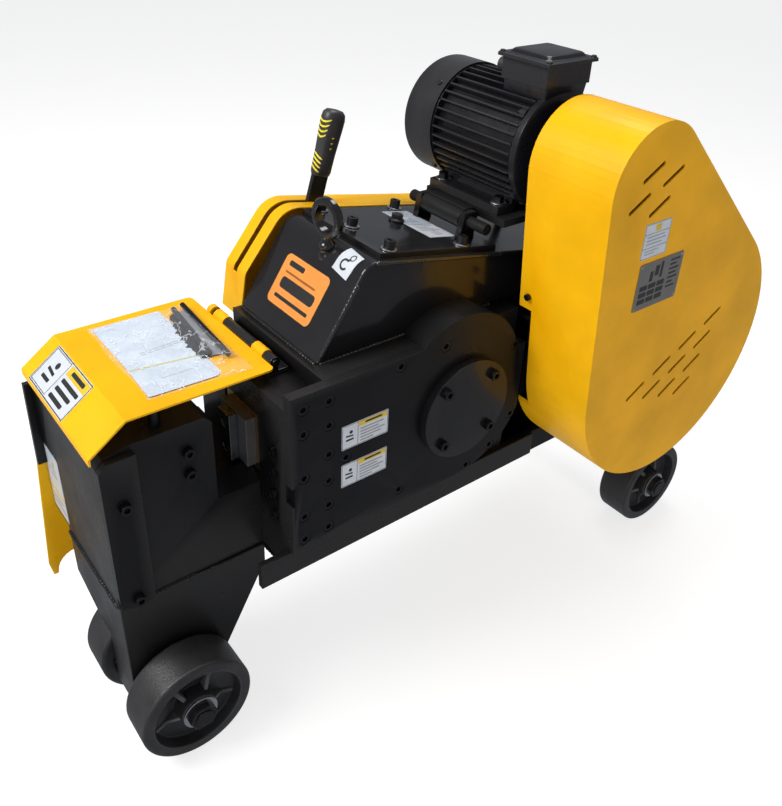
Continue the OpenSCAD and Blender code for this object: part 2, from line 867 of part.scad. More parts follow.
module terminal_box() {
    row_frame() color(black_paint)
    difference() {
        corner_box([motor_x - 50, box_near_y, motor_z + 106], [motor_x + 50, box_far_y, box_top]);
        corner_box([motor_x - 45, box_near_y + 5, motor_z + 112],
                   [motor_x + 45, box_far_y - 5, box_top + 1]);
        y_rod(gland_x, motor_z + 120, 12, box_far_y - 6, box_far_y + 1);
    }
}

module terminal_box_lid() {
    over = 8;
    row_frame() color(black_paint)
        corner_box([motor_x - 50 - over, box_near_y - over, box_top],
                   [motor_x + 50 + over, box_far_y + over, box_top + 13]);
}

module cable_gland() {
    row_frame() color(dark_steel)
    translate([gland_x, box_far_y, motor_z + 120]) rotate([-90, 0, 0]) difference() {
        union() {
            translate([0, 0, -5]) cylinder(h = 6, r = 11.7);
            translate([0, 0, 0.3]) cylinder(h = 8, r = 15, $fn = 6);
            translate([0, 0, 8]) cylinder(h = 14, r = 12);
        }
        translate([0, 0, -6]) cylinder(h = 30, r = 7);
    }
}

// ---------------------------------------------------------------- belt drive

module grooved_rim(r, hub_r, y1, width) {
    y0 = y1 - width;
    polygon(concat(
        [[hub_r, y1], [r, y1]],
        [for (i = [0:belts - 1], k = [0:3])
            let (
                mid = y1 - 3.5 - groove_pitch * (i + 0.5),
                side = k < 2 ? 1 : -1,
                deep = (k == 1 || k == 2) ? groove_depth : 0
            )
            [r - deep, mid + side * groove_w / 2]],
        [[r, y0], [hub_r, y0]]
    ));
}

module motor_pulley() {
    row_frame() color(dark_steel)
    y_lathe(motor_x, motor_z) grooved_rim(small_r, 14, pulley_far_y, pulley_w);
}

module v_belts() {
    belt_t = 9.5;
    row_frame() color([0.05, 0.05, 0.05])
    for (i = [0:belts - 1]) {
        mid = pulley_far_y - 3.5 - groove_pitch * (i + 0.5);
        xz_slab(mid - belt_w / 2, mid + belt_w / 2) difference() {
            belt_outline(small_r - groove_depth + 1 + belt_t, large_r - groove_depth + 1 + belt_t);
            belt_outline(small_r - groove_depth + 1, large_r - groove_depth + 1);
        }
    }
}

module drive_wheel() {
    near_y = pulley_far_y - drive_w;
    row_frame() color(dark_steel)
    difference() {
        union() {
            y_lathe(drive_x, drive_z) difference() {
                grooved_rim(large_r, 22, pulley_far_y, drive_w);
                translate([62, near_y - 1]) square([110, 34]);
                translate([62, pulley_far_y - 30]) square([110, 31]);
            }
            y_ring(drive_x, drive_z, 22, 45, near_y - 12, near_y);
        }
        for (a = [0:60:300])
            y_rod(drive_x + 118 * cos(a), drive_z + 118 * sin(a), 26, near_y - 1, pulley_far_y + 1);
    }
}

module belt_guard() {
    notch_x = crank_x + 156;
    row_frame() color(yellow_paint)
    difference() {
        xz_slab(guard_front_y, guard_back_y) belt_outline(guard_small_r, guard_large_r);
        xz_slab(guard_front_y + guard_sheet, guard_back_y + 1)
            belt_outline(guard_small_r - guard_sheet, guard_large_r - guard_sheet);
        // the rim is cut back where the side plate stands behind it
        corner_box([motor_x - 120, plate_outer_y - 16, 250], [notch_x, guard_back_y + 1, 655]);
        // vent slots in the front face
        guard_slots();
    }
}

// sloping vent slots: two pairs above the plate, ten in four growing rows below
module guard_slots() {
    tilt = 29;
    for (row = [0:1], i = [0:1])
        guard_slot(783 - 20 * row + 51.5 * i, 926.5 - 44.7 * row - 14.3 * i, 22.5, tilt);
    for (row = [0:3], i = [0:row])
        guard_slot(1057 - 15.7 * row - 49.5 * i, 606 - 45 * row + 14.2 * i, 21.7, tilt);
}

module guard_slot(x, z, half, tilt) {
    slot_r = 3.4;
    xz_slab(guard_front_y - 1, guard_front_y + guard_sheet + 1)
        translate([x, z]) rotate(tilt) {
            translate([-half, -slot_r]) square([2 * half, 2 * slot_r]);
            for (s = [-half, half])
                translate([s, 0]) circle(slot_r, $fn = 24);
        }
}

module guard_back_plate() {
    sheet = 3;
    row_frame() color(black_paint)
    difference() {
        xz_slab(guard_back_y - sheet, guard_back_y)
            belt_outline(guard_small_r - guard_sheet - 1, guard_large_r - guard_sheet - 1);
        y_rod(motor_x, motor_z, 50, guard_back_y - 5, guard_back_y + 1);
        y_rod(drive_x, drive_z, 60, guard_back_y - 5, guard_back_y + 1);
        corner_box([600, -200, 250], [crank_x + 156, -150, 655]);
        for (p = standoffs)
            y_rod(p[0], p[1], 6, guard_back_y - 5, guard_back_y + 1);
    }
}

// front face of the guard's rim at height z, between its two circles
function rim_x(z) =
    motor_x - guard_small_r
        + (drive_x - guard_large_r - motor_x + guard_small_r) * (motor_z - z) / (motor_z - drive_z);

rim_turn = 85;
rim_screw_z = 679;

standoffs = [[770, 600], [1040, 620], [1040, 400], [800, 410]];

module guard_screws() {
    row_frame() color(dark_steel) {
        for (p = standoffs) {
            y_rod(p[0], p[1], 10, guard_back_y, hood_near_y);
            y_rod(p[0], p[1], 5.5, guard_back_y - 3, guard_back_y);
            y_rod(p[0], p[1], 10, guard_back_y - 5.2, guard_back_y - 3);
        }
        translate([rim_x(rim_screw_z) - 7.1, guard_back_y - 20, rim_screw_z]) rotate([0, rim_turn, 0])
            cylinder(h = 6, r = 6);
    }
}

// ---------------------------------------------------------------- cutting drive

module ram_liners() {
    front_x = case_front_x + 2;
    gap = slide_gap;
    row_frame() color(bronze) {
        corner_box([front_x, ram_near_y - liner_t, nose_high + gap],
                   [guide_rear_x, ram_far_y + liner_t, nose_high + liner_t]);
        corner_box([front_x, ram_near_y - liner_t, nose_low - liner_t],
                   [guide_rear_x, ram_far_y + liner_t, nose_low - gap]);
        corner_box([front_x, ram_near_y - liner_t, nose_low - gap],
                   [guide_rear_x, ram_near_y - gap, nose_high + gap]);
        corner_box([front_x, ram_far_y + gap, nose_low - gap],
                   [guide_rear_x, ram_far_y + liner_t, nose_high + gap]);
    }
}

module fixed_blade() {
    row_frame() color(bare_steel)
    difference() {
        corner_box([fixed_face_x - blade_t - 8, shear_y, blade_low - 2],
                   [fixed_face_x, shear_y + blade_w, blade_high]);
        for (z = [blade_low + 20, blade_high - 20])
            translate([fixed_face_x - 10, shear_y + blade_w / 2, z])
                rotate([0, 90, 0]) cylinder(h = 11, r = 9);
    }
}

module moving_blade() {
    row_frame() color(bare_steel)
    difference() {
        corner_box([moving_face_x, shear_y - clear - blade_w, blade_low],
                   [moving_face_x + blade_t, shear_y - clear, blade_high]);
        for (z = [blade_low + 20, blade_high - 20])
            translate([moving_face_x - 1, shear_y - clear - blade_w / 2, z])
                rotate([0, 90, 0]) cylinder(h = 11, r = 9);
    }
}

module ram() {
    frame_front_x = window_front_x - ram_wall;
    row_frame() color(dark_steel)
    difference() {
        union() {
            corner_box([nose_front_x, ram_near_y, nose_low],
                       [frame_front_x + 1, ram_far_y, nose_high]);
            corner_box([frame_front_x, ram_near_y, crank_z - window_half_z - ram_wall],
                       [window_rear_x + ram_wall, ram_far_y, crank_z + window_half_z + ram_wall]);
        }
        corner_box([window_front_x, ram_near_y - 1, crank_z - window_half_z],
                   [window_rear_x, ram_far_y + 1, crank_z + window_half_z]);
        corner_box([nose_front_x - 1, shear_y - clear - blade_w, blade_low],
                   [moving_face_x + blade_t, shear_y - clear, blade_high]);
    }
}

module slide_block() {
    half = block_side / 2;
    row_frame() color(bronze)
    difference() {
        corner_box([block_x - half, ram_near_y + 2, crank_z - half],
                   [block_x + half, ram_far_y - 2, crank_z + half]);
        y_rod(block_x, crank_z, eccentric_r + turn_gap, ram_near_y, ram_far_y);
    }
}

module crankshaft() {
    row_frame() color(bare_steel) {
        y_rod(crank_x, crank_z, journal_r, plate_outer_y + 6, case_far_y - 1);
        y_rod(block_x, crank_z, eccentric_r, ram_near_y, ram_far_y);
    }
}

module clutch_sleeve() {
    row_frame() color(dark_steel)
    difference() {
        y_ring(crank_x, crank_z, journal_r, 54, main_far_y + 3, case_far_y - case_wall - 2);
        for (a = [20:120:260])
            y_rod(crank_x + 54 * cos(a), crank_z + 54 * sin(a), 8, main_far_y + 2, case_far_y);
    }
}

module main_gear() {
    row_frame() color(dark_steel)
    difference() {
        gear(crank_x, crank_z, main_teeth, main_module, main_angle, main_near_y, main_far_y);
        y_rod(crank_x, crank_z, journal_r + turn_gap, main_near_y - 1, main_far_y + 1);
        y_ring(crank_x, crank_z, 60, 150, main_near_y - 1, main_near_y + 14);
        y_ring(crank_x, crank_z, 60, 150, main_far_y - 14, main_far_y + 1);
    }
}

module countershaft() {
    shaft_r = 25;
    row_frame() color(bare_steel) {
        y_rod(counter_x, counter_z, shaft_r, hood_near_y + 2, case_far_y - 2);
        gear(counter_x, counter_z, pinion_teeth, main_module,
             main_angle + 180 + 180 / pinion_teeth, main_near_y - 2, main_far_y + 2);
        gear(counter_x, counter_z, first_teeth, first_module, first_angle,
             first_near_y, first_far_y);
    }
}

module input_shaft() {
    shaft_r = 22;
    end_y = pulley_far_y - drive_w - 14;
    row_frame() color(bare_steel) {
        y_rod(drive_x, drive_z, shaft_r, end_y, case_far_y - 2);
        gear(drive_x, drive_z, input_teeth, first_module,
             first_angle + 180 + 180 / input_teeth, first_near_y - 2, first_far_y + 2);
        translate([drive_x, end_y - 14, drive_z]) rotate([-90, 0, 0])
            cylinder(h = 14, r = 30, $fn = 6);
    }
}

module shaft_bearings() {
    inner_far = case_far_y - case_wall;
    row_frame() color(bare_steel) {
        y_ring(crank_x, crank_z, journal_r + turn_gap, journal_r + 20, plate_outer_y + 5, -128);
        y_ring(crank_x, crank_z, journal_r + turn_gap, journal_r + 20, inner_far, case_far_y);
        y_ring(counter_x, counter_z, 25 + turn_gap, 44, hood_near_y, hood_near_y + case_wall);
        y_ring(counter_x, counter_z, 25 + turn_gap, 44, inner_far, case_far_y);
        y_ring(drive_x, drive_z, 22 + turn_gap, 40, hood_near_y, hood_near_y + case_wall);
        y_ring(drive_x, drive_z, 22 + turn_gap, 40, inner_far, case_far_y);
        y_ring(motor_x, motor_z, 14 + turn_gap, 31, -147, -131);
        y_ring(motor_x, motor_z, 14 + turn_gap, 31, frame_far_y, frame_far_y + 14);
    }
}

module rotor_shaft() {
    row_frame() color(bare_steel) {
        y_rod(motor_x, motor_z, 14, pulley_far_y - pulley_w, 130);
        y_rod(motor_x, motor_z, 49.4, -84, 34);
    }
}

module cooling_fan() {
    hub_r = 24;
    blade_r = 88;
    row_frame() color(dark_steel)
    difference() {
        union() {
            y_rod(motor_x, motor_z, hub_r, 88, 128);
            for (i = [0:7])
                translate([motor_x, 0, motor_z]) rotate([0, 45 * i, 0])
                    corner_box([hub_r - 2, 92, -1.5], [blade_r, 124, 1.5]);
        }
        y_rod(motor_x, motor_z, 14, 80, 140);
    }
}

// ---------------------------------------------------------------- clutch lever

cover_near_y = case_far_y + clear;
cover_front = [331, 620];

// outline of the lever's cover, open below: it falls to the rear like the top of the case
module cover_outline(inset) {
    low = cover_front[1] - 4 * inset;
    corner = [344 + inset, 700];
    crown = [424 + inset * 0.5, 800 - inset];
    rear_x = 770 - inset;
    crown_z = 800 - inset - top_fall * (rear_x - 424);
    polygon(concat(
        [[cover_front[0] + inset, low]],
        fillet([cover_front[0] + inset, low], corner, crown, 20),
        fillet(corner, crown, [rear_x, crown_z], 50),
        [[rear_x, crown_z], [rear_x, low - top_fall * (rear_x - cover_front[0])]]
    ));
}

module lever_cover() {
    sheet = 3;
    slot_half = 6;
    slot_y = (cover_near_y + cover_far_y) / 2;
    row_frame() color(yellow_paint)
    difference() {
        xz_slab(cover_near_y, cover_far_y) cover_outline(0);
        xz_slab(cover_near_y - 1, cover_far_y - sheet) cover_outline(sheet);
        // the lever's slot through the front and top of the rim
        corner_box([cover_front[0] - 5, slot_y - slot_half, 692],
                   [540, slot_y + slot_half, 830]);
    }
}

module clutch_shaft() {
    finger_l = 104;
    row_frame() color(bare_steel) {
        y_rod(lever_x, lever_z, 12, 84, 134);
        translate([lever_x, 0, lever_z]) rotate([0, 38, 0])
            corner_box([0, 85, -8], [finger_l, 93, 8]);
    }
}

lever_plane_y = (cover_near_y + cover_far_y) / 2;

module lever_arm() {
    arm_w = 30;
    arm_t = 9;
    row_frame() color(black_paint)
    translate([lever_x, 0, lever_z]) rotate([0, lever_lean, 0]) difference() {
        union() {
            corner_box([-arm_w / 2, lever_plane_y - arm_t / 2, 0],
                       [arm_w / 2, lever_plane_y + arm_t / 2, lever_length - 60]);
            y_rod(0, 0, 22, 134, lever_plane_y + 8);
        }
        y_rod(0, 0, 10, lever_plane_y + 2, lever_plane_y + 20);
    }
}

module lever_grip() {
    grip_l = 112;
    row_frame() color([0.1, 0.1, 0.1])
    translate([lever_x, lever_plane_y, lever_z]) rotate([0, lever_lean, 0])
        translate([0, 0, lever_length - grip_l]) difference() {
            rotate_extrude()
                polygon([[0, 0], [17, 0], [19, 12], [18, 40], [20, 90], [19, 106], [14, grip_l],
                         [0, grip_l]]);
            corner_box([-15, -4.5, -1], [15, 4.5, grip_l - 60]);
        }
}

module return_spring() {
    coil_r = 16;
    wire_r = 2;
    turns = 6;
    row_frame() color(bare_steel)
    for (i = [0:turns - 1])
        translate([lever_x, 112 + i * 3.4, lever_z]) rotate([-90, 0, 0])
            rotate_extrude() translate([coil_r, 0]) square([2 * wire_r, 2.8]);
}

// ---------------------------------------------------------------- lid

lid_knuckles = [[-50, -18], [74, 106], [116, 128]];

module lid() {
    lip = 11;
    flap_z = 600;
    rear_x = hinge_x - 9.7;
    corner_r = 9;
    row_frame() color(yellow_paint)
    difference() {
        union() {
            xz_slab(lid_near_y, lid_far_y)
                polygon([
                    [rear_x, lid_top], [fold_x, lid_top], [flap_x, flap_z],
                    [flap_x, flap_z - lip], [flap_x + lid_sheet, flap_z - lip],
                    [flap_x + lid_sheet, flap_z - 1.5], [fold_x + 1.2, lid_top - lid_sheet],
                    [rear_x, lid_top - lid_sheet]
                ]);
            for (k = lid_knuckles) {
                y_rod(hinge_x, hinge_z, 10, k[0], k[1]);
                corner_box([rear_x - 1, k[0], lid_top - lid_sheet], [hinge_x, k[1], lid_top]);
            }
        }
        for (k = lid_knuckles)
            y_rod(hinge_x, hinge_z, 5 + turn_gap, k[0] - 1, k[1] + 1);
        // rounded rear corners
        for (side = [0, 1])
            translate([rear_x - corner_r, side ? lid_far_y : lid_near_y, lid_top - 20])
                mirror([0, side, 0]) difference() {
                    translate([0, -1, 0]) cube([corner_r + 1, corner_r + 1, 40]);
                    translate([0, corner_r, -1]) cylinder(h = 42, r = corner_r);
                }
    }
}

module lid_hinge() {
    row_frame() color(black_paint) {
        y_rod(hinge_x, hinge_z, 5, -76, 130);
        for (k = [[-74, -50.5], [-17.5, 73.5]])
            difference() {
                union() {
                    y_ring(hinge_x, hinge_z, 5, 9, k[0], k[1]);
                    corner_box([hinge_x - 4, k[0], 618], [hinge_x + 5, k[1], hinge_z - 4]);
                }
                y_rod(hinge_x, hinge_z, 5, k[0] - 1, k[1] + 1);
            }
        corner_box([hinge_x - 14, -74, 618], [hinge_x + 24, 104, 626]);
    }
}

module document_pouch() {
    row_frame() color([0.85, 0.87, 0.88])
        corner_box([95, -62, lid_top + clear], [257, 172, lid_top + 10]);
}

// ---------------------------------------------------------------- wheels

module wheel(x, y) {
    half = wheel_w / 2;
    web = 9;
    row_frame() color(black_paint)
    y_lathe(x, wheel_r) translate([0, y])
        polygon([
            [axle_r + turn_gap, -half - 2], [30, -half - 2], [34, -web], [72, -web - 6],
            [76, -half], [wheel_r - 4, -half], [wheel_r, -half + 4], [wheel_r, half - 4],
            [wheel_r - 4, half], [76, half], [72, web + 6], [34, web], [30, half + 2],
            [axle_r + turn_gap, half + 2]
        ]);
}

module front_wheel_near() wheel(front_axle_x, front_near_y);
module front_wheel_far() wheel(front_axle_x, front_far_y);
module rear_wheel_near() wheel(rear_axle_x, rear_near_y);
module rear_wheel_far() wheel(rear_axle_x, rear_far_y);

// an axle with a washer and a nut at each end
module axle(x, near_y, far_y) {
    half = wheel_w / 2;
    row_frame() color(dark_steel) {
        y_rod(x, wheel_r, axle_r, near_y - half - 20, far_y + half + 20);
        for (y = [near_y - half - 6, far_y + half + 3])
            y_ring(x, wheel_r, axle_r, 26, y, y + 3);
        for (y = [near_y - half - 18, far_y + half + 6])
            translate([x, y, wheel_r]) rotate([-90, 0, 0]) difference() {
                cylinder(h = 12, r = 24, $fn = 6);
                translate([0, 0, -1]) cylinder(h = 14, r = axle_r);
            }
    }
}

module front_axle() axle(front_axle_x, front_near_y, front_far_y);
module rear_axle() axle(rear_axle_x, rear_near_y, rear_far_y);

// ---------------------------------------------------------------- nodes

base_frame();
rear_brackets();
front_leg();
cutter_head();
head_side_bar();
head_bolts();
far_guard();
gear_case();
upper_case();
side_plate();
side_plate_bolts();
bearing_caps();
bearing_cap_bolts();
top_plate();
top_plate_bolts();
filler_plug();
lifting_eye();
motor_plate();
motor_hinge_rod();
motor_bolts();
motor_frame();
stator();
motor_end_shields();
fan_cowl();
terminal_box();
terminal_box_lid();
cable_gland();
v_belts();
belt_guard();
guard_back_plate();
guard_screws();
ram_liners();
fixed_blade();
shaft_bearings();
lever_cover();
lid_hinge();
front_axle();
rear_axle();
return_spring();
rotor_shaft();
motor_pulley();
cooling_fan();
drive_wheel();
input_shaft();
countershaft();
main_gear();
crankshaft();
clutch_sleeve();
slide_block();
ram();
moving_blade();
clutch_shaft();
lever_arm();
lever_grip();
lid();
document_pouch();
front_wheel_near();
front_wheel_far();
rear_wheel_near();
rear_wheel_far();
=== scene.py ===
"""Looks of an electric rebar cutter: procedural materials, detail pieces, light and camera."""

import math

import bmesh
import bpy
from mathutils import Matrix, Vector, noise


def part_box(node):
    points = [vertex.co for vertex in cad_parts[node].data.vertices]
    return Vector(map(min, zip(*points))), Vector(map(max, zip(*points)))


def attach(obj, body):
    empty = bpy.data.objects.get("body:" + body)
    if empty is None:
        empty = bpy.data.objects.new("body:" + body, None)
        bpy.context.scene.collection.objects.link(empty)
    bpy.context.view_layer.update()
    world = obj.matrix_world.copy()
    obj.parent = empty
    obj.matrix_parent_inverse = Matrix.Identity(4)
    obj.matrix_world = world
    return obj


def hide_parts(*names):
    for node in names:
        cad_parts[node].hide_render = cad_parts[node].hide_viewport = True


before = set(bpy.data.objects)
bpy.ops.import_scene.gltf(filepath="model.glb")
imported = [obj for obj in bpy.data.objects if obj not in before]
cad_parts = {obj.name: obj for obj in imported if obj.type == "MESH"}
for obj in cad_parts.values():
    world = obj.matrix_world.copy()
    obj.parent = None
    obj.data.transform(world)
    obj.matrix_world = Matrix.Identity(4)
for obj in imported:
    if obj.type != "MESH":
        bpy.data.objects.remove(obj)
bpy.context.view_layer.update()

MM = 0.001
X, Y, Z = Vector((1, 0, 0)), Vector((0, 1, 0)), Vector((0, 0, 1))


# ---------------------------------------------------------------- materials

def new_material(name, color, roughness, metallic=0.0, **sockets):
    """A Principled material with its plain values set on the shader's own sockets."""
    mat = bpy.data.materials.new(name)
    mat.use_nodes = True
    shader = mat.node_tree.nodes["Principled BSDF"]
    shader.inputs["Base Color"].default_value = (*color, 1)
    shader.inputs["Roughness"].default_value = roughness
    shader.inputs["Metallic"].default_value = metallic
    for key, value in sockets.items():
        shader.inputs[key.replace("_", " ")].default_value = value
    mat.diffuse_color = (*color, 1)
    return mat


def node(mat, kind, **inputs):
    """Adds a shader node and sets those of its sockets that are named."""
    made = mat.node_tree.nodes.new("ShaderNode" + kind)
    for key, value in inputs.items():
        made.inputs[key].default_value = value
    return made


def wire(mat, source, target):
    mat.node_tree.links.new(source, target)


def shader_input(mat, name):
    return mat.node_tree.nodes["Principled BSDF"].inputs[name]


def grain(mat, scale, detail=3.0, stretch=(1, 1, 1), rough=0.55):
    """Noise in object space, scale in cycles per metre, stretched along each axis."""
    coords = node(mat, "TexCoord")
    mapping = node(mat, "Mapping", Scale=stretch)
    made = node(mat, "TexNoise", Scale=scale, Detail=detail, Roughness=rough)
    wire(mat, coords.outputs["Object"], mapping.inputs["Vector"])
    wire(mat, mapping.outputs["Vector"], made.inputs["Vector"])
    return made.outputs["Fac"]


def remap(mat, source, low, high, out_low, out_high):
    made = node(mat, "MapRange", **{"From Min": low, "From Max": high, "To Min": out_low, "To Max": out_high})
    wire(mat, source, made.inputs["Value"])
    return made.outputs["Result"]


def blend_color(mat, factor, first, second):
    """A mix of two colours or colour outputs by a factor output."""
    made = mat.node_tree.nodes.new("ShaderNodeMix")
    made.data_type = "RGBA"
    wire(mat, factor, made.inputs["Factor"])
    for value, socket in ((first, made.inputs[6]), (second, made.inputs[7])):
        if hasattr(value, "links"):
            wire(mat, value, socket)
        else:
            socket.default_value = (*value, 1)
    return made.outputs[2]


def relief(mat, height, depth):
    """Bump of the given depth in metres."""
    made = node(mat, "Bump", Strength=1.0, Distance=depth)
    wire(mat, height, made.inputs["Height"])
    wire(mat, made.outputs["Normal"], shader_input(mat, "Normal"))


def edge_wear_and_highlight(mat):
    """A factor that rises on convex edges."""
    made = mat.node_tree.nodes.new("ShaderNodeNewGeometry")
    return remap(mat, made.outputs["Pointiness"], 0.515, 0.56, 0.0, 1.0)


def upward(mat):
    """A factor that rises on faces that look up, where dust settles."""
    made = mat.node_tree.nodes.new("ShaderNodeNewGeometry")
    split = mat.node_tree.nodes.new("ShaderNodeSeparateXYZ")
    wire(mat, made.outputs["Normal"], split.inputs["Vector"])
    return remap(mat, split.outputs["Z"], 0.3, 1.0, 0.0, 1.0)


def maths(mat, operation, *values):
    """A Math node; each value is a number or an output."""
    made = mat.node_tree.nodes.new("ShaderNodeMath")
    made.operation = operation
    for value, socket in zip(values, made.inputs):
        if isinstance(value, (int, float)):
            socket.default_value = value
        else:
            wire(mat, value, socket)
    return made.outputs[0]


def patchy(mat, scale, detail, first, second, spread=0.2):
    """Two colours mixed in soft patches, scale in cycles per metre."""
    factor = remap(mat, grain(mat, scale, detail), 0.5 - spread, 0.5 + spread, 0, 1)
    return blend_color(mat, factor, first, second)


def scaled(color, factor, lift=0.0):
    return tuple(min(1.0, c * factor + lift) for c in color)


def enamel(name, color, roughness, peel=0.00025, dust=0.01, edge_wear_and_highlight_color=(0.05, 0.05, 0.05), coat=0.0, lumps=90,
           shine=0.38):
    """Sprayed enamel: orange peel, patchy gloss, a little dust on top, and convex edges lightened partly as
    worn paint and partly as a painted highlight.
    """
    mat = new_material(name, color, roughness, Coat_Weight=coat, Coat_Roughness=0.06,
                       Specular_IOR_Level=shine)
    varied = patchy(mat, 9, 4, scaled(color, 0.88), scaled(color, 1.12, 0.002))
    specks = remap(mat, grain(mat, 420, 2), 0.52, 0.72, 0.2, 1.0)
    settled = maths(mat, "MULTIPLY", maths(mat, "MULTIPLY", upward(mat), specks), dust)
    dusty = blend_color(mat, settled, varied, (0.32, 0.3, 0.27))
    # convex edges take the edge colour: partly worn paint, partly a painted highlight along the edges
    rubbed_and_highlit = maths(mat, "MULTIPLY", edge_wear_and_highlight(mat), 0.35)
    wire(mat, blend_color(mat, rubbed_and_highlit, dusty, edge_wear_and_highlight_color), shader_input(mat, "Base Color"))
    gloss = remap(mat, grain(mat, 14, 5), 0.3, 0.7, roughness * 0.8, roughness * 1.3)
    wire(mat, gloss, shader_input(mat, "Roughness"))
    relief(mat, grain(mat, lumps, 3), peel)
    return mat


def cast_surface(name, color, roughness, metallic=0.0, depth=0.0006):
    """A sand casting, painted or bare: fine lumps and dull hollows."""
    mat = new_material(name, color, roughness, metallic)
    pits = grain(mat, 320, 5, rough=0.65)
    tone = patchy(mat, 25, 4, color, scaled(color, 1.5, 0.01))
    rubbed_and_highlit = maths(mat, "MULTIPLY", edge_wear_and_highlight(mat), 0.5)
    wire(mat, blend_color(mat, rubbed_and_highlit, tone, (0.2, 0.2, 0.2)), shader_input(mat, "Base Color"))
    wire(mat, remap(mat, pits, 0.3, 0.7, roughness * 0.85, roughness * 1.2), shader_input(mat, "Roughness"))
    relief(mat, pits, depth)
    return mat


def worked_steel(name, color, roughness, stretch=(1, 1, 1), scale=300, depth=0.00008):
    """Machined or ground steel with tool marks along the least stretched axis."""
    mat = new_material(name, color, roughness, 1.0)
    marks = grain(mat, scale, 4, stretch)
    wire(mat, blend_color(mat, remap(mat, marks, 0.3, 0.7, 0, 1), scaled(color, 0.72), color),
         shader_input(mat, "Base Color"))
    wire(mat, remap(mat, grain(mat, 40, 4), 0.3, 0.7, roughness * 0.7, roughness * 1.4),
         shader_input(mat, "Roughness"))
    relief(mat, marks, depth)
    return mat


def moulded(name, color, roughness):
    """Rubber or plastic with a fine moulded grain."""
    mat = new_material(name, color, roughness)
    skin = grain(mat, 900, 2)
    wire(mat, patchy(mat, 30, 3, color, scaled(color, 1.25, 0.004)), shader_input(mat, "Base Color"))
    wire(mat, remap(mat, skin, 0.3, 0.7, roughness * 0.85, roughness * 1.15), shader_input(mat, "Roughness"))
    relief(mat, skin, 0.00012)
    return mat


def printed(name, color):
    """Ink or vinyl: even colour with slight mottling under a thin gloss."""
    mat = new_material(name, color, 0.35, Coat_Weight=0.25, Coat_Roughness=0.15)
    wire(mat, patchy(mat, 60, 3, scaled(color, 0.93), color, 0.15), shader_input(mat, "Base Color"))
    relief(mat, grain(mat, 260, 2), 0.00004)
    return mat


def clear_film():
    """Thin clear plastic: mostly open, denser where it is seen at a slant, and with thin denser white lines
    that are painted crinkle highlights.
    """
    mat = new_material("clear_film", (0.9, 0.93, 1.0), 0.08, Coat_Weight=1.0, Coat_Roughness=0.04)
    slant = mat.node_tree.nodes.new("ShaderNodeLayerWeight")
    slant.inputs["Blend"].default_value = 0.2
    open_part = remap(mat, slant.outputs["Facing"], 0.0, 1.0, 0.02, 0.16)
    # thin lines of denser white film are painted highlights of crinkles; the bump below does not follow them
    crinkle_line = maths(mat, "COMPARE", grain(mat, 26, 3, (1.25, 0.7, 1)), 0.5, 0.012)
    painted_crinkle_highlights = remap(mat, crinkle_line, 0, 1, 0, 0.2)
    wire(mat, maths(mat, "ADD", open_part, painted_crinkle_highlights), shader_input(mat, "Alpha"))
    relief(mat, grain(mat, 70, 3), 0.0012)
    return mat


def paper_sheet():
    """Bluish white paper, slightly mottled and cockled."""
    mat = new_material("paper", (0.56, 0.63, 0.72), 0.6)
    wire(mat, patchy(mat, 22, 3, (0.5, 0.57, 0.66), (0.6, 0.67, 0.76), 0.15), shader_input(mat, "Base Color"))
    relief(mat, grain(mat, 35, 2), 0.0015)
    return mat


BLACK = enamel("black_enamel", (0.0028, 0.0028, 0.0036), 0.3, dust=0.008, coat=0.04, shine=0.2)
HOOD_BLACK = enamel("hood_black", (0.004, 0.004, 0.0058), 0.2, peel=0.0003, coat=0.3, lumps=70, shine=0.3)
MOTOR_BLACK = enamel("motor_black", (0.0065, 0.0065, 0.0092), 0.27, peel=0.0003, coat=0.15, lumps=110,
                     shine=0.3)
# the yellow's edge colour is a brighter yellow: a painted highlight along its edges
YELLOW = enamel("yellow_enamel", (0.84, 0.4, 0.0004), 0.34, peel=0.00018, dust=0.003,
                edge_wear_and_highlight_color=(0.95, 0.6, 0.02), coat=0.04, lumps=60, shine=0.14)
SCREW_BLACK = worked_steel("blackened_steel", (0.06, 0.06, 0.065), 0.38, scale=500)
ZINC = worked_steel("zinc_plate", (0.62, 0.63, 0.66), 0.28, scale=350)
FORGED = cast_surface("forged_steel", (0.012, 0.012, 0.015), 0.3, 0.3, 0.0004)
EYE_BLACK = enamel("eye_black", (0.0035, 0.0035, 0.005), 0.14, peel=0.0005, dust=0.0, coat=0.7, lumps=120,
                   shine=0.4)
MACHINED = worked_steel("machined_steel", (0.55, 0.56, 0.58), 0.25, (6, 0.4, 6))
GROUND = worked_steel("ground_steel", (0.42, 0.43, 0.45), 0.22, (0.3, 8, 8))
CAST_IRON = cast_surface("cast_iron", (0.12, 0.12, 0.125), 0.5, 0.8)
WHEEL_IRON = cast_surface("wheel_iron", (0.012, 0.012, 0.0135), 0.4, 0.0, 0.0005)
ROD_STEEL = worked_steel("rod_steel", (0.05, 0.052, 0.062), 0.3, (8, 0.5, 8))
BRONZE = worked_steel("bronze", (0.62, 0.38, 0.14), 0.3, (4, 1, 4))
COPPER = worked_steel("copper_wire", (0.6, 0.25, 0.1), 0.35, (14, 1, 14), 260, 0.0005)
BELT_RUBBER = moulded("belt_rubber", (0.02, 0.02, 0.02), 0.7)
GRIP_RUBBER = moulded("grip_rubber", (0.028, 0.028, 0.031), 0.42)
PLASTIC = moulded("black_plastic", (0.02, 0.02, 0.021), 0.45)
GRIP_YELLOW = moulded("grip_yellow", (0.75, 0.62, 0.02), 0.45)
LABEL_WHITE = printed("label_white", (0.62, 0.66, 0.72))
LABEL_YELLOW = printed("label_yellow", (0.72, 0.5, 0.02))
LABEL_ORANGE = printed("label_orange", (0.84, 0.3, 0.05))
LABEL_INK = printed("label_ink", (0.012, 0.012, 0.013))
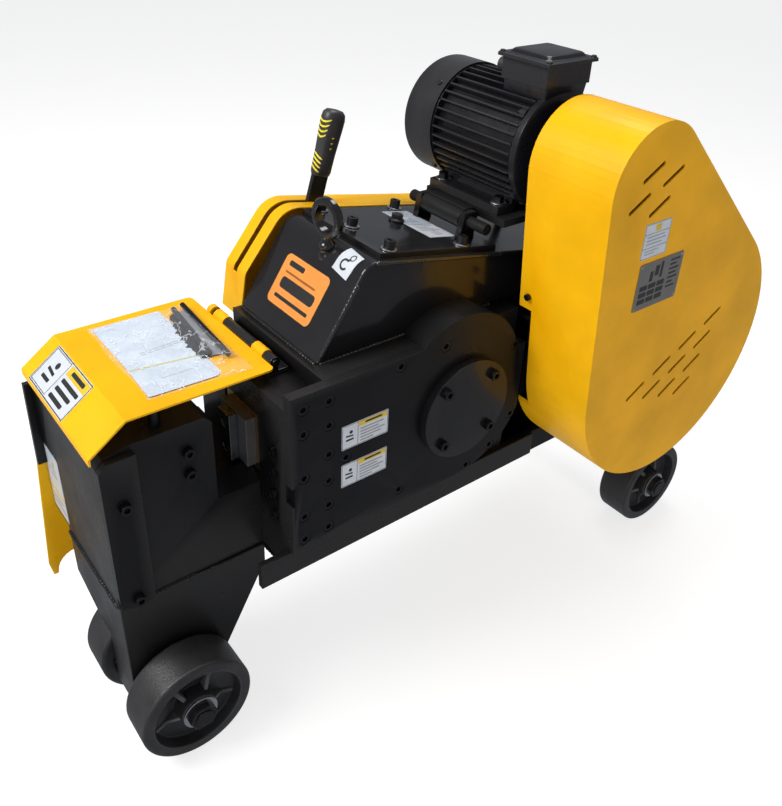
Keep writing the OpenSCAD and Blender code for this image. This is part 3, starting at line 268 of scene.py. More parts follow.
LABEL_PALE = printed("label_pale", (0.5, 0.56, 0.62))
STRIP_YELLOW = printed("strip_yellow", (0.55, 0.52, 0.16))
LABEL_GREY = printed("label_grey", (0.3, 0.31, 0.34))
LABEL_BROWN = printed("label_brown", (0.3, 0.09, 0.012))
PLATE_METAL = worked_steel("plate_metal", (0.5, 0.48, 0.44), 0.34, (1, 1, 14), 240, 0.00005)
PAPER = paper_sheet()
FILM = clear_film()


# ---------------------------------------------------------------- CAD nodes

def soften(name, width, segments):
    """Rounds a CAD node's edges with modifiers; its own mesh stays as it is."""
    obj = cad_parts[name]
    weld = obj.modifiers.new("weld", "WELD")
    weld.merge_threshold = 0.00002
    flat = obj.modifiers.new("flat", "DECIMATE")
    flat.decimate_type = "DISSOLVE"
    flat.angle_limit = math.radians(0.5)
    bevel = obj.modifiers.new("bevel", "BEVEL")
    bevel.width = width * MM
    bevel.segments = segments
    bevel.limit_method = "ANGLE"
    bevel.angle_limit = math.radians(32)
    bevel.miter_outer = "MITER_ARC"
    bevel.harden_normals = False
    normals = obj.modifiers.new("normals", "WEIGHTED_NORMAL")
    normals.keep_sharp = True
    normals.weight = 60


def dress(names, material, width=0.0, segments=2):
    """Gives CAD nodes a material and, with a width in mm, rounded edges."""
    for name in names.split():
        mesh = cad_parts[name].data
        mesh.materials.clear()
        mesh.materials.append(material)
        for face in mesh.polygons:
            face.material_index = 0
        if width:
            soften(name, width, segments)


dress("base_frame rear_brackets front_leg cutter_head head_side_bar", BLACK, 1.6)
dress("gear_case side_plate", BLACK, 1.5)
dress("upper_case", HOOD_BLACK, 7, 4)
dress("top_plate bearing_caps", HOOD_BLACK, 1.4)
dress("far_guard belt_guard lever_cover", YELLOW, 1.2)
dress("lid", YELLOW, 1.0)
dress("guard_back_plate", BLACK, 0.6)
dress("motor_plate", BLACK, 1.4)
dress("motor_frame motor_end_shields", MOTOR_BLACK, 0.9)
dress("terminal_box terminal_box_lid", MOTOR_BLACK, 2.4, 3)
dress("head_bolts side_plate_bolts bearing_cap_bolts top_plate_bolts motor_bolts guard_screws",
      SCREW_BLACK, 0.5)
dress("filler_plug", SCREW_BLACK, 1.2)
dress("lifting_eye", EYE_BLACK, 1.5, 3)
dress("motor_hinge_rod front_axle rear_axle", BLACK, 0.8)
dress("lid_hinge", HOOD_BLACK, 0.8)
dress("clutch_sleeve", FORGED, 0.6)
dress("stator", COPPER)
dress("cable_gland cooling_fan", PLASTIC, 0.5)
dress("v_belts", BELT_RUBBER)
dress("ram_liners slide_block", BRONZE, 0.8)
dress("fixed_blade moving_blade", GROUND, 0.5)
dress("shaft_bearings rotor_shaft input_shaft countershaft crankshaft clutch_shaft", MACHINED, 0.5)
dress("return_spring", GROUND)
dress("motor_pulley drive_wheel main_gear", CAST_IRON, 0.8)
dress("ram", CAST_IRON, 1.5)
dress("lever_arm", BLACK, 1.5)
dress("lever_grip", GRIP_RUBBER, 4, 3)
dress("document_pouch", FILM)
dress("front_wheel_near front_wheel_far rear_wheel_near rear_wheel_far", WHEEL_IRON, 2.5, 3)


# ---------------------------------------------------------------- mesh helpers

# the gear case's lowest corner in the CAD design gives the design's origin in the frame
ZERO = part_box("gear_case")[0] - Vector((251, -160, 302)) * MM


def at(x, y, z):
    """A point of the CAD design, in mm, as a point of the frame."""
    return ZERO + Vector((x, y, z)) * MM


def turned(direction, degrees, axis):
    return Matrix.Rotation(math.radians(degrees), 3, axis) @ Vector(direction)


def arc(u, v, radius, start, end, steps, height=None):
    """Points along an arc, angles in degrees; with a height it is part of an ellipse."""
    angles = [math.radians(start + (end - start) * i / steps) for i in range(steps + 1)]
    return [(u + radius * math.cos(a), v + (height or radius) * math.sin(a)) for a in angles]


def disc(u, v, radius, steps=24):
    return arc(u, v, radius, 0, 360, steps)[:-1]


def new_object(name, points, faces, *materials):
    """A mesh object, linked to the scene."""
    mesh = bpy.data.meshes.new(name)
    mesh.from_pydata([tuple(p) for p in points], [], faces)
    for material in materials:
        mesh.materials.append(material)
    obj = bpy.data.objects.new(name, mesh)
    bpy.context.scene.collection.objects.link(obj)
    return obj


class Build:
    """Collects solids, each with its own material, into one piece."""

    def __init__(self, *materials):
        self.materials = materials
        self.points, self.faces, self.slots = [], [], []

    def add(self, points, faces, slot=0):
        start = len(self.points)
        self.points += [Vector(p) for p in points]
        self.faces += [tuple(start + i for i in f) for f in faces]
        self.slots += [slot] * len(faces)

    def loft(self, rings, slot=0, caps=True):
        """Skins a list of rings that all have the same number of points."""
        n = len(rings[0])
        faces = [(i * n + j, i * n + (j + 1) % n, (i + 1) * n + (j + 1) % n, (i + 1) * n + j)
                 for i in range(len(rings) - 1) for j in range(n)]
        if caps:
            faces += [tuple(range(n))[::-1], tuple((len(rings) - 1) * n + j for j in range(n))]
        self.add([p for ring in rings for p in ring], faces, slot)

    def lathe(self, origin, axis, profile, slot=0, steps=48, hollow=False):
        """Turns (radius, height) pairs in mm about an axis; a hollow profile closes on itself."""
        axis = Vector(axis).normalized()
        side = axis.orthogonal().normalized()
        other = axis.cross(side)
        rings = [[origin + (axis * h + (side * c + other * s) * max(r, 0.02)) * MM
                  for c, s in disc(0, 0, 1, steps)] for r, h in profile]
        self.loft(rings + rings[:1] if hollow else rings, slot, caps=not hollow)

    def prism(self, outline, low, high, place, slot=0):
        """An outline of (u, v) pairs between two heights, where place(u, v, w) is a point."""
        self.loft([[place(u, v, low) for u, v in outline], [place(u, v, high) for u, v in outline]], slot)

    def ribbon(self, path, half, low, high, place, slot=0):
        """A flat band along a path of (u, v) points, on the surface that place describes."""
        rings = []
        for i, (u, v) in enumerate(path):
            (u0, v0), (u1, v1) = path[max(i - 1, 0)], path[min(i + 1, len(path) - 1)]
            length = math.hypot(u1 - u0, v1 - v0)
            du, dv = (v1 - v0) / length * half, (u0 - u1) / length * half
            rings.append([place(u - du, v - dv, low), place(u + du, v + dv, low),
                          place(u + du, v + dv, high), place(u - du, v - dv, high)])
        self.loft(rings, slot)

    def finish(self, name, body, smooth=35, bevel=0.0, replaces=()):
        """Makes the piece, which rides on a body and may stand for CAD nodes."""
        obj = new_object(name, self.points, self.faces, *self.materials)
        mesh = obj.data
        mesh.polygons.foreach_set("material_index", self.slots)
        shaped = bmesh.new()
        shaped.from_mesh(mesh)
        bmesh.ops.remove_doubles(shaped, verts=shaped.verts, dist=1e-6)
        bmesh.ops.recalc_face_normals(shaped, faces=shaped.faces)
        shaped.to_mesh(mesh)
        shaped.free()
        mesh.shade_smooth()
        mesh.set_sharp_from_angle(angle=math.radians(smooth))
        if bevel:
            rounded = obj.modifiers.new("bevel", "BEVEL")
            rounded.width = bevel * MM
            rounded.segments = 2
            rounded.limit_method = "ANGLE"
            rounded.angle_limit = math.radians(35)
        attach(obj, body)
        if replaces:
            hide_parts(*replaces)


def flat_face(origin, right, up):
    """place(u, v, w) for a flat face: u along right, v along up and w out of it, in mm."""
    right, up = Vector(right).normalized(), Vector(up).normalized()
    out = right.cross(up)
    return lambda u, v, w: origin + (right * u + up * v + out * w) * MM


def round_box(u0, v0, u1, v1, radius, steps=5):
    """A rectangle with rounded corners, as (u, v) pairs."""
    corners = ((u1 - radius, v1 - radius, 0), (u0 + radius, v1 - radius, 90),
               (u0 + radius, v0 + radius, 180), (u1 - radius, v0 + radius, 270))
    return [p for u, v, a in corners for p in arc(u, v, radius, a, a + 90, steps)]


# ---------------------------------------------------------------- places of the CAD design, in mm

SIDE_FACE = -178           # y of the side plate's outer face
HOOD_NEAR, HOOD_FAR = -122, 108
HOOD_FOOT = at(332, 0, 645)
HOOD_RISE = Vector((95.2, 0, 144.7)).normalized()
TOP_FALL = Vector((1, 0, -0.185)).normalized()
CROWN_START, CROWN_RADIUS = 153.3, 30     # up the slope from the hood's foot
GUARD_FACE = -331          # y of the belt guard's outer face
MOTOR_AXIS = at(796, 0, 900)
AXLE_HEIGHT = 96
WHEELS = {"front_wheel_near": (74, -129), "front_wheel_far": (74, 39), "rear_wheel_near": (1160, -205),
          "rear_wheel_far": (1160, 172)}
LID_TOP = 642


# ---------------------------------------------------------------- labels and plates

def rows(u0, u1, top, pitch, height, shares):
    """Plain bars in rows, one below the other; shares are their lengths as parts of u1 - u0."""
    return [round_box(u0, top - pitch * i - height, u0 + (u1 - u0) * share, top - pitch * i, height * 0.3, 2)
            for i, share in enumerate(shares)]


def border(u0, v0, u1, v1, width, inset=1.0):
    """Four thin bars just inside a rectangle's edge."""
    a, b, c, d = u0 + inset, v0 + inset, u1 - inset, v1 - inset
    return [round_box(*box, width * 0.2, 1) for box in (
        (a, b, c, b + width), (a, d - width, c, d), (a, b, a + width, d), (c - width, b, c, d))]


def picture(u, v, size):
    """A plain pictogram of no particular thing: a disc over a slanted bar and a base."""
    slant = [(-0.3, 0), (0.28, -0.07), (0.28, 0.05), (-0.3, 0.12)]
    return [disc(u + size * 0.1, v + size * 0.3, size * 0.13),
            [(u + size * a, v + size * b) for a, b in slant],
            round_box(u - size * 0.3, v - size * 0.34, u + size * 0.3, v - size * 0.2, size * 0.03, 2)]


def label(name, body, place, outline, base, *marks):
    """A thin label and its marks, each a material followed by its outlines."""
    piece = Build(base, *[ink for ink, _ in marks])
    piece.prism(outline, 0.02, 0.3, place)
    for i, (_, shapes) in enumerate(marks):
        for shape in shapes:
            piece.prism(shape, 0.25, 0.36 + 0.04 * i, place, i + 1)
    piece.finish(name, body, smooth=30)


def side_labels():
    width, height, split = 89, 45, 30
    for i, z in enumerate((442, 516)):
        label(f"side_label_{i}", "machine", flat_face(at(341, SIDE_FACE, z), X, Z),
              round_box(0, 0, width, height, 2), LABEL_WHITE,
              (LABEL_YELLOW, [round_box(split + 2, height - 11, width - 2.5, height - 2.5, 0.8, 2)]),
              (LABEL_INK, border(0, 0, width, height, 0.8) + picture(split / 2, height / 2, 24)
               + [round_box(split, 2, split + 0.8, height - 2, 0.2, 1)]
               + rows(split + 14, width - 12, height - 4.8, 9, 3.6, (1,))),
              (LABEL_GREY, rows(split + 5, width - 4, height - 15, 5.6, 2.6, (0.9, 0.7, 0.95, 0.8, 0.5))))


def hood_label():
    place = flat_face(HOOD_FOOT + (HOOD_RISE * 37 + Y * 56) * MM, -Y, HOOD_RISE)
    label("hood_label", "machine", place, round_box(0, 0, 121, 85, 10), LABEL_ORANGE,
          (LABEL_INK, rows(14, 56, 76, 10, 9, (1,)) + rows(14, 108, 48, 20, 19, (1,))
           + rows(14, 108, 18, 10, 6, (1,))),
          (LABEL_BROWN, rows(14, 98, 58, 10, 3.5, (1,))))


def crown_label():
    """A small label bent over the hood's rounded crown, with a ring and a hook drawn on it."""
    turn = math.acos(HOOD_RISE.dot(TOP_FALL))
    centre = HOOD_FOOT + (HOOD_RISE * CROWN_START - HOOD_RISE.cross(Y) * CROWN_RADIUS) * MM
    c, s = math.cos(math.radians(8)), math.sin(math.radians(8))

    def place(u, v, w):
        across, along = u * c + v * s + 52, v * c - u * s + 138 - CROWN_START
        bend = min(max(0, along / CROWN_RADIUS), turn)
        straight = min(0, along) + max(0, along - turn * CROWN_RADIUS)
        out = turned(HOOD_RISE.cross(Y), math.degrees(bend), Y)
        way = turned(HOOD_RISE, math.degrees(bend), Y)
        return centre + (out * (CROWN_RADIUS + w) + way * straight - Y * across) * MM

    piece = Build(LABEL_WHITE, LABEL_INK)
    piece.ribbon([(21, v * 2) for v in range(23)], 21, 0.02, 0.3, place)
    piece.ribbon(arc(27, 33, 5, 0, 360, 20), 0.9, 0.25, 0.42, place, 1)
    piece.ribbon([(25, 28.5)] + arc(20, 17, 8, 70, 336, 19), 1.9, 0.25, 0.42, place, 1)
    piece.finish("crown_label", "machine", smooth=30)


def top_labels():
    place = flat_face(at(601, -57, 765.6), TOP_FALL, Y)
    for name, near, far, base in (("near", 0, 62, LABEL_WHITE), ("far", 63, 134, LABEL_PALE)):
        label("top_label_" + name, "machine", place, round_box(0, near, 58, far, 1), base,
              (LABEL_GREY, border(0, near, 58, far, 0.8)
               + picture(30, near + 22, 30) + rows(8, 52, far - 6, 7, 3, (0.9, 0.6, 0.8, 0.95))))


def guard_plates():
    face = flat_face(at(797, GUARD_FACE, 689), X, Z)
    width, height = 113, 84
    plate = Build(PLATE_METAL, LABEL_INK, ZINC)
    plate.prism(round_box(0, 0, width, height, 4), 0, 1.0, face)
    cells = [round_box(9 + 22 * (k % 3), 11 + 12 * (k // 3), 28 + 22 * (k % 3), 20 + 12 * (k // 3), 0.8, 2)
             for k in range(9)]
    tall = [round_box(*box, 0.8, 2) for box in ((30, 48, 38, 66), (42, 56, 52, 74), (56, 50, 62, 78))]
    for mark in cells + tall + rows(80, 105, 76, 8, 3.4, (1, 0.7, 1, 0.8, 1, 0.6, 0.9)):
        plate.prism(mark, 0.9, 1.15, face, 1)
    dome = arc(0, 0.9, 3.4, 0, 90, 6, 1.8)
    for u in (5, width - 5):
        for v in (5, height - 5):
            plate.lathe(face(u, v, 0), -Y, dome, 2, 20)
    plate.finish("guard_nameplate", "machine")
    label("guard_label", "machine", flat_face(at(791, GUARD_FACE, 782), X, Z), round_box(0, 0, 64, 60, 1),
          LABEL_WHITE,
          (LABEL_INK, border(0, 0, 64, 60, 0.7, 0.8)
           + [round_box(1, v, 63, v + 0.8, 0.2, 1) for v in (42, 18)]),
          (LABEL_YELLOW, [round_box(25, 45, 39, 56, 1.5)]),
          (LABEL_GREY, rows(8, 56, 38, 6, 2, (0.9, 1, 0.8)) + rows(8, 56, 14, 5, 1.6, (0.7, 0.5))))


def flap_label():
    up = Vector((57, 0, 42)).normalized()
    start = at(48, 154, 642) - up * 70 * MM
    width, height = 139, 67
    label("flap_label", "lid", flat_face(start, -Y, up), round_box(0, 0, width, height, 2), LABEL_WHITE,
          (LABEL_YELLOW, [round_box(66, height - 20, width - 3.5, height - 3.5, 1, 2)]),
          (LABEL_INK, border(0, 0, width, height, 1.6, 0.8) + border(4, 4, 62, height - 4, 1.1, 0)
           + picture(33, 32, 44) + rows(70, width - 7, 42, 13.5, 7, (0.95, 0.85, 0.75))
           + rows(78, width - 15, height - 8, 10, 7, (1,))))


def wall_label():
    label("wall_label", "machine", flat_face(at(0, 192, 320), -Y, Z), round_box(0, 0, 70, 134, 2), LABEL_PALE,
          (LABEL_YELLOW, [round_box(3, 44, 67, 50, 0.6, 2)]),
          (LABEL_GREY, border(0, 0, 70, 134, 0.8) + picture(35, 96, 44)
           + rows(10, 62, 36, 9, 3.6, (0.9, 0.7, 1))))


# ---------------------------------------------------------------- welds and hardware

def welds(name, lines, width, material=BLACK, ripple=1.0):
    """Hand-laid beads along straight corners, rippled every few millimetres."""
    piece = Build(material)
    for start, end in lines:
        a, b = at(*start), at(*end)
        way = (b - a).normalized()
        side = way.orthogonal().normalized()
        other = way.cross(side)
        count = max(4, int((b - a).length / (2.4 * MM)))
        rings = []
        for i in range(count + 1):
            middle = a.lerp(b, i / count)
            swell = 1 + ripple * (0.14 * math.sin(i * 2.1) + 0.25 * noise.noise(middle * 60))
            radius = width * MM / 2 * swell * (0.5 if i in (0, count) else 1)
            rings.append([middle + (side * u + other * v) * radius for u, v in disc(0, 0, 1, 12)])
        piece.loft(rings)
    piece.finish(name, "machine", smooth=70)


def all_welds():
    welds("hood_welds", [
        ((338, HOOD_NEAR, 645), (690, HOOD_NEAR, 645)), ((332, -118, 645), (332, 104, 645)),
        ((338, HOOD_FAR, 645), (690, HOOD_FAR, 645))], 6, HOOD_BLACK)
    edge = HOOD_NEAR + 1.5
    welds("hood_edge_welds", [
        ((340, edge, 654.8), (408, edge, 758.2)), ((441, edge, 784.6), (704, edge, 736))], 8, EYE_BLACK, 0.35)
    welds("head_welds", [
        ((2, -80, 302), (130, -80, 302)), ((0, -76, 302), (0, 130, 302)),
        ((251, -120, 300), (251, 100, 300))], 7)
    welds("frame_welds", [
        ((1110, -164, 302), (1200, -164, 302)), ((1110, 132, 302), (1200, 132, 302))], 7)


def washers():
    """Bright washers under the bolts of the sloping top plate and of the motor's feet."""
    piece = Build(ZINC)
    lean = Vector((0.185, 0, 1)).normalized()
    ring = [(5, 0.2), (12.6, 0.2), (13.2, 0.8), (13.2, 1.8), (12.6, 2.4), (5, 2.4)]
    for x, y in ((484, -94), (490, 12), (484, 93), (636, -94), (642, 93)):
        piece.lathe(at(x, y, 797.7 - 0.185 * (x - 427.2)), lean, ring, 0, 36, hollow=True)
    for x in (716, 876):
        for y in (-91, 49):
            piece.lathe(at(x, y, 814), Z, ring, 0, 36, hollow=True)
    piece.finish("washers", "machine")


def far_cap_screws():
    """Hexagon screws around the three bearing caps of the far side."""
    piece = Build(SCREW_BLACK)
    face = (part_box("bearing_caps")[1].y - ZERO.y) / MM
    for x, z, radius in ((592, 502, 54), (815.9, 493.8, 45), (974, 549, 41)):
        for k in range(6):
            out = turned(X, 60 * k + 15, Y)
            centre = at(x, face, z) + out * radius * MM
            piece.lathe(centre, Y, [(0, -0.5), (7.4, -0.5), (7.4, 4.2), (6.6, 5), (0, 5)], 0, 6)
    piece.finish("far_cap_screws", "machine")


def eye_collar():
    """The turned collar and nut below the lifting eye's ring."""
    piece = Build(EYE_BLACK)
    profile = [(7.8, 757), (14, 757), (14.6, 760), (14.6, 768), (13, 771), (12, 774), (13.4, 777), (14, 780),
               (14, 783), (12.5, 786), (9.6, 789), (8.6, 794), (7.8, 795)]
    piece.lathe(at(422, -19, 0), Z, profile, 0, 48, hollow=True)
    piece.finish("eye_collar", "machine")


# ---------------------------------------------------------------- grip of the clutch lever

GRIP_AXIS = Vector((math.sin(math.radians(16)), 0, math.cos(math.radians(16))))
GRIP_SIDE = Y.cross(GRIP_AXIS)
GRIP_FOOT = at(452, 140.65, 612) + GRIP_AXIS * 226 * MM
# height along the lever, half width and half thickness, in mm
GRIP_SHAPE = ((0, 15.5, 11), (4, 17, 13), (9, 17.6, 14), (16, 17.2, 14.4), (36, 17.4, 15), (60, 18.6, 16),
              (84, 19.8, 17), (98, 20, 17.2), (106, 18.6, 16), (111, 14, 12), (112, 8, 7))


def grip_point(height, degrees, lift=0.0):
    """A point of the grip's skin, an oval that changes along the lever."""
    for (h0, a0, b0), (h1, a1, b1) in zip(GRIP_SHAPE, GRIP_SHAPE[1:]):
        if height <= h1:
            t = (height - h0) / (h1 - h0)
            break
    wide, thick = a0 + (a1 - a0) * t + lift, b0 + (b1 - b0) * t + lift
    c, s = math.cos(math.radians(degrees)), math.sin(math.radians(degrees))
    squarer = (abs(c) ** 2.5 + abs(s) ** 2.5) ** (-1 / 2.5)
    return GRIP_FOOT + (GRIP_AXIS * height + GRIP_SIDE * wide * c * squarer + Y * thick * s * squarer) * MM


def grip():
    """The rubber grip with raised yellow stripes on both faces."""
    piece = Build(GRIP_RUBBER, GRIP_YELLOW)
    heights = sorted({h for h, _, _ in GRIP_SHAPE} | set(range(20, 104, 4)))
    piece.loft([[grip_point(h, a) for a in range(0, 360, 9)] for h in heights])

    def stripe(path, width):
        """A raised band along (degrees, height) points of the skin."""
        rings = []
        for i, (degrees, height) in enumerate(path):
            half = width / 2 * (0.3 if i in (0, len(path) - 1) else 1)
            rings.append([grip_point(height + side * half, degrees, lift)
                          for side, lift in ((-1, -0.8), (1, -0.8), (1, 0.7), (-1, 0.7))])
        piece.loft(rings, 1)

    for face in (0, 180):
        for k in range(4):
            start, end = 150 + 2 * k, 234 - 4 * k
            stripe([(start + (end - start) * i / 10 + face, 91 - 8.6 * k + 5 * (i / 5 - 1) ** 2)
                    for i in range(11)], 3.0)
            stripe([(160 + 10 * i + face, 38 - 7.4 * k - 1.3 * i) for i in range(8)], 3.0)
        for k in range(3):
            stripe([(256 + face + 3 * i, 66 - 9 * k + 0.4 * i) for i in range(5)], 2.2)
    piece.finish("grip", "clutch_lever", smooth=40, replaces=["lever_grip"])


# ---------------------------------------------------------------- motor details

def fan_cover():
    """The fan's sheet cowl with a rolled edge, a grille of rings on spokes, and its screws."""
    piece = Build(MOTOR_BLACK, SCREW_BLACK)
    outside = [(103, 67.5)] + arc(91, 133, 12, 0, 90, 6) + [(84, 145.4)]
    inside = [(84, 143.2)] + arc(91, 132.5, 10, 90, 0, 6, 10.5) + [(101, 67.5)]
    piece.lathe(MOTOR_AXIS, Y, outside + inside, 0, 72, hollow=True)
    for radius in (12, 27, 42, 57, 72, 85):
        near, far = radius - 2, radius + 2
        ring = [(near, 142.4), (far, 142.4), (far, 145.2), (near, 145.2)]
        piece.lathe(MOTOR_AXIS, Y, ring, 0, 56, hollow=True)
    piece.lathe(MOTOR_AXIS, Y, [(0, 142), (12, 142), (11, 145.8), (0, 145.8)], 0, 32)
    for k in range(8):
        out = turned(X, 45 * k + 22.5, Y)
        spoke = flat_face(MOTOR_AXIS + Y * 142.2 * MM, out, Y.cross(out))
        piece.prism([(8, -2), (88, -2), (88, 2), (8, 2)], -2.4, 0, spoke)
    for k in range(4):
        out = turned(X, 45 + 90 * k, Y)
        root = MOTOR_AXIS + (Y * 83 + out * 102.5) * MM
        piece.lathe(root, out, [(0, -2), (5, -2), (5, 1.8), (3.8, 3), (0, 3)], 1, 20)
    piece.finish("fan_cover", "machine", smooth=38, replaces=["fan_cowl"])


def box_cover():
    """The terminal box's lid: a flared rim, a raised rounded panel, corner screws and a gasket."""
    piece = Build(MOTOR_BLACK, SCREW_BLACK, PLASTIC)
    low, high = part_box("terminal_box_lid")
    place = flat_face(Vector(((low.x + high.x) / 2, (low.y + high.y) / 2, low.z)), X, Y)
    long = (high.y - low.y) / 2 / MM

    def ring(half_x, half_y, radius, height):
        return [place(u, v, height) for u, v in round_box(-half_x, -half_y, half_x, half_y, radius)]

    piece.loft([ring(58 - inset, long - inset, radius, height) for inset, radius, height in (
        (0, 5, 0), (0, 5, 1.5), (0.4, 5, 5), (3, 5, 6), (11, 9, 6.2), (14, 8, 8), (16, 8, 11), (18, 8, 12.4),
        (21, 8, 12.9))])
    piece.prism(round_box(-51.5, 6.5 - long, 51.5, long - 6.5, 4), -1.6, 0.2, place, 2)
    for u in (-51, 51):
        for v in (7 - long, long - 7):
            piece.lathe(place(u, v, 4.5), Z, [(0, 0), (4.6, 0), (4.6, 2.8), (3.4, 4), (0, 4)], 1, 20)
    piece.finish("terminal_cover", "machine", smooth=40, replaces=["terminal_box_lid"])


def box_skirt():
    """The cast neck that joins the terminal box to the motor frame and its end shield."""
    piece = Build(MOTOR_BLACK)
    low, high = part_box("terminal_box")
    base = flat_face(Vector((low.x, low.y, low.z)), X, Y)
    width = (high.x - low.x) / MM
    piece.loft([[base(u, v, height) for u, v in round_box(inset, inset * 0.8, width - inset, far, 5)]
                for inset, far, height in ((7, 66, -40), (5, 72, -26), (3, 84, -12), (1.2, 97, 2))])
    piece.finish("box_skirt", "machine", smooth=35)


def shield_bolts():
    """Four cast lugs around the motor's drive end, each with a hexagon bolt."""
    piece = Build(SCREW_BLACK, MOTOR_BLACK)
    for k in range(4):
        out = turned(X, 45 + 90 * k, Y)
        centre = MOTOR_AXIS + (Y * -119.5 + out * 93) * MM
        piece.lathe(centre, Y, [(0, 0), (8.5, 0), (8.5, 11), (7, 12.5), (0, 12.5)], 1, 24)
        piece.lathe(centre + Y * 12 * MM, Y, [(0, 0), (5.5, 0), (5.5, 5), (4.6, 6), (0, 6)], 0, 6)
    piece.finish("shield_lugs", "machine")


# ---------------------------------------------------------------- wheels

def wheel_details():
    """Cast ribs in each wheel's dish, and a bright ring on each axle end."""
    for name, (x, y) in WHEELS.items():
        piece = Build(WHEEL_IRON)
        for k in range(5):
            rib = flat_face(at(x, y, AXLE_HEIGHT), turned(X, 72 * k + 18, Y), Y)
            for side in (-1, 1):
                outline = [(u, side * v) for u, v in ((30, 6), (74, 6), (74, 17), (52, 15), (31, 26))]
                piece.prism(outline[::side], -4, 4, rib)
        piece.finish(name + "_ribs", name, bevel=1.5)
    for axle in ("front", "rear"):
        piece = Build(ZINC)
        for side, way in (("near", -1), ("far", 1)):
            x, y = WHEELS[f"{axle}_wheel_{side}"]
            ring = [(20, 38.6), (29, 38.6), (30, 39.4), (30, 41.2), (29, 42.2), (20, 42.2)]
            piece.lathe(at(x, y, AXLE_HEIGHT), Y * way, ring, 0, 40, hollow=True)
        piece.finish(axle + "_axle_caps", "machine")


# ---------------------------------------------------------------- document pouch on the lid

RODS = (((250, 156), (238, -26)), ((231, 150), (216, -8)))     # ends as x, y
BAG_START, BAG_SIZE = (93, -68), (162, 238)


def paper_stack():
    """A folded leaflet of three slightly shifted sheets, with grey rows and a yellow edge strip."""
    piece = Build(PAPER, LABEL_GREY, STRIP_YELLOW)
    for k, (lift, shift, angle) in enumerate(((0.4, 3, 1.6), (0.9, 1, 0.6), (1.4, 0, 0))):
        right = turned(X, angle - 2, Z)
        place = flat_face(at(96 + shift, -58 + shift, LID_TOP + lift), right, Z.cross(right))
        piece.prism(round_box(0, 0, 112 - 4 * k, 224 - 8 * k, 2), 0, 0.45, place)
    for mark in ([round_box(32 + 11 * i, 116 - 6 * k + 1.2 * i, 41 + 11 * i, 117.6 - 6 * k + 1.2 * i, 0.6, 1)
                  for k in range(2) for i in range(6)] + [round_box(34, 36, 84, 37.2, 0.5, 1)]):
        piece.prism(mark, 0.4, 0.55, place, 1)
    piece.prism([(1, 76), (106, 64), (106, 67.5), (1, 80)], 0.4, 0.6, place, 2)
    piece.finish("leaflet", "lid", smooth=30)


def spare_rods():
    """Two dark round rods in the pouch, beside a thin flat dark sheet with a ragged edge, and over a grey
    sheet.
    """
    piece = Build(ROD_STEEL, LABEL_GREY)
    radius, edge = 4.6, 0.8
    for start, end in RODS:
        a, b = at(*start, LID_TOP + radius + 2.8), at(*end, LID_TOP + radius + 2.8)
        length = (b - a).length / MM
        piece.lathe(a, b - a, [(0, 0), (radius - edge, 0), (radius, edge), (radius, length - edge),
                               (radius - edge, length), (0, length)], 0, 24)
    way = turned(Y, -6, Z)
    place = flat_face(at(208, -10, LID_TOP + 2.1), way.cross(Z), way)
    # a thin flat dark sheet with a ragged edge lies between the leaflet and the rods
    ragged = []
    for v in range(148, 2, -4):
        jaggedness = 0.55 + 1.1 * abs(noise.noise(Vector((v * 0.17, 2, 4))))
        ragged.append((-(3 + 13 * math.sin(math.pi * (0.1 + v / 190))) * jaggedness, v))
    piece.prism([(8, 0), (7, 158)] + ragged, 0, 0.6, place)
    piece.prism([(8, 3), (31, 1), (26, 156), (7, 158)], 0.1, 0.5, place, 1)
    piece.finish("spare_rods", "lid", bevel=0.4)


def film_height(x, y):
    """How high the clear bag stands over the lid at a point, in mm."""
    u, v = ((p - start) / size for p, start, size in zip((x, y), BAG_START, BAG_SIZE))
    edge = min(1.0, min(u, 1 - u) * 9, min(v, 1 - v) * 12)
    rods = 0.0
    for (x0, y0), (x1, y1) in RODS:
        t = min(1, max(0, (y - y0) / (y1 - y0)))
        away = math.hypot(x - (x0 + (x1 - x0) * t), y - (y0 + (y1 - y0) * t))
        rods = max(rods, 12.4 * math.exp(-(max(0, away - 4.5) / 11) ** 2))
    crease = (noise.noise(Vector((x * 0.045, y * 0.02, 3)))
              + 0.6 * noise.noise(Vector((x * 0.02, y * 0.11, 9))))
    fold = abs(noise.noise(Vector((x * 0.05 + y * 0.03, y * 0.05 - x * 0.02, 17))))
    tuck = 5 * max(0, 1 - abs(y + 34) / 40) * abs(noise.noise(Vector((x * 0.13, y * 0.04, 31))))
    rest = 2.7 + 0.7 * crease + 1.1 * fold + tuck
    return 0.5 + edge ** 0.6 * max(rest, min(rods, 12.6))


def clear_bag():
    """The bag's film, laid over the leaflet and the rods and pressed flat at the edges."""
    across, along = 66, 92
    points = []
    for j in range(along + 1):
        for i in range(across + 1):
            u, v = i / across, j / along
            x, y = BAG_START[0] + BAG_SIZE[0] * u, BAG_START[1] + BAG_SIZE[1] * v
            wander = 1.6 * math.sin(v * 9) * (1 - u) + 1.2 * noise.noise(Vector((u * 3, v * 7, 5)))
            slip = (u - 0.5) * -9 + 1.5 * noise.noise(Vector((u * 6, v * 3, 8)))
            points.append(at(x + wander, y + slip, LID_TOP + film_height(x, y)))
    row = across + 1
    faces = [(j * row + i, j * row + i + 1, (j + 1) * row + i + 1, (j + 1) * row + i)
             for j in range(along) for i in range(across)]
    bag = new_object("clear_bag", points, faces, FILM)
    bag.data.shade_smooth()
    thick = bag.modifiers.new("thick", "SOLIDIFY")
    thick.thickness = 0.12 * MM
    thick.offset = 1
    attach(bag, "lid")
    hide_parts("document_pouch")
    return bag


def pouch():
    paper_stack()
    spare_rods()
    clear_bag()


# ---------------------------------------------------------------- stage, light and camera

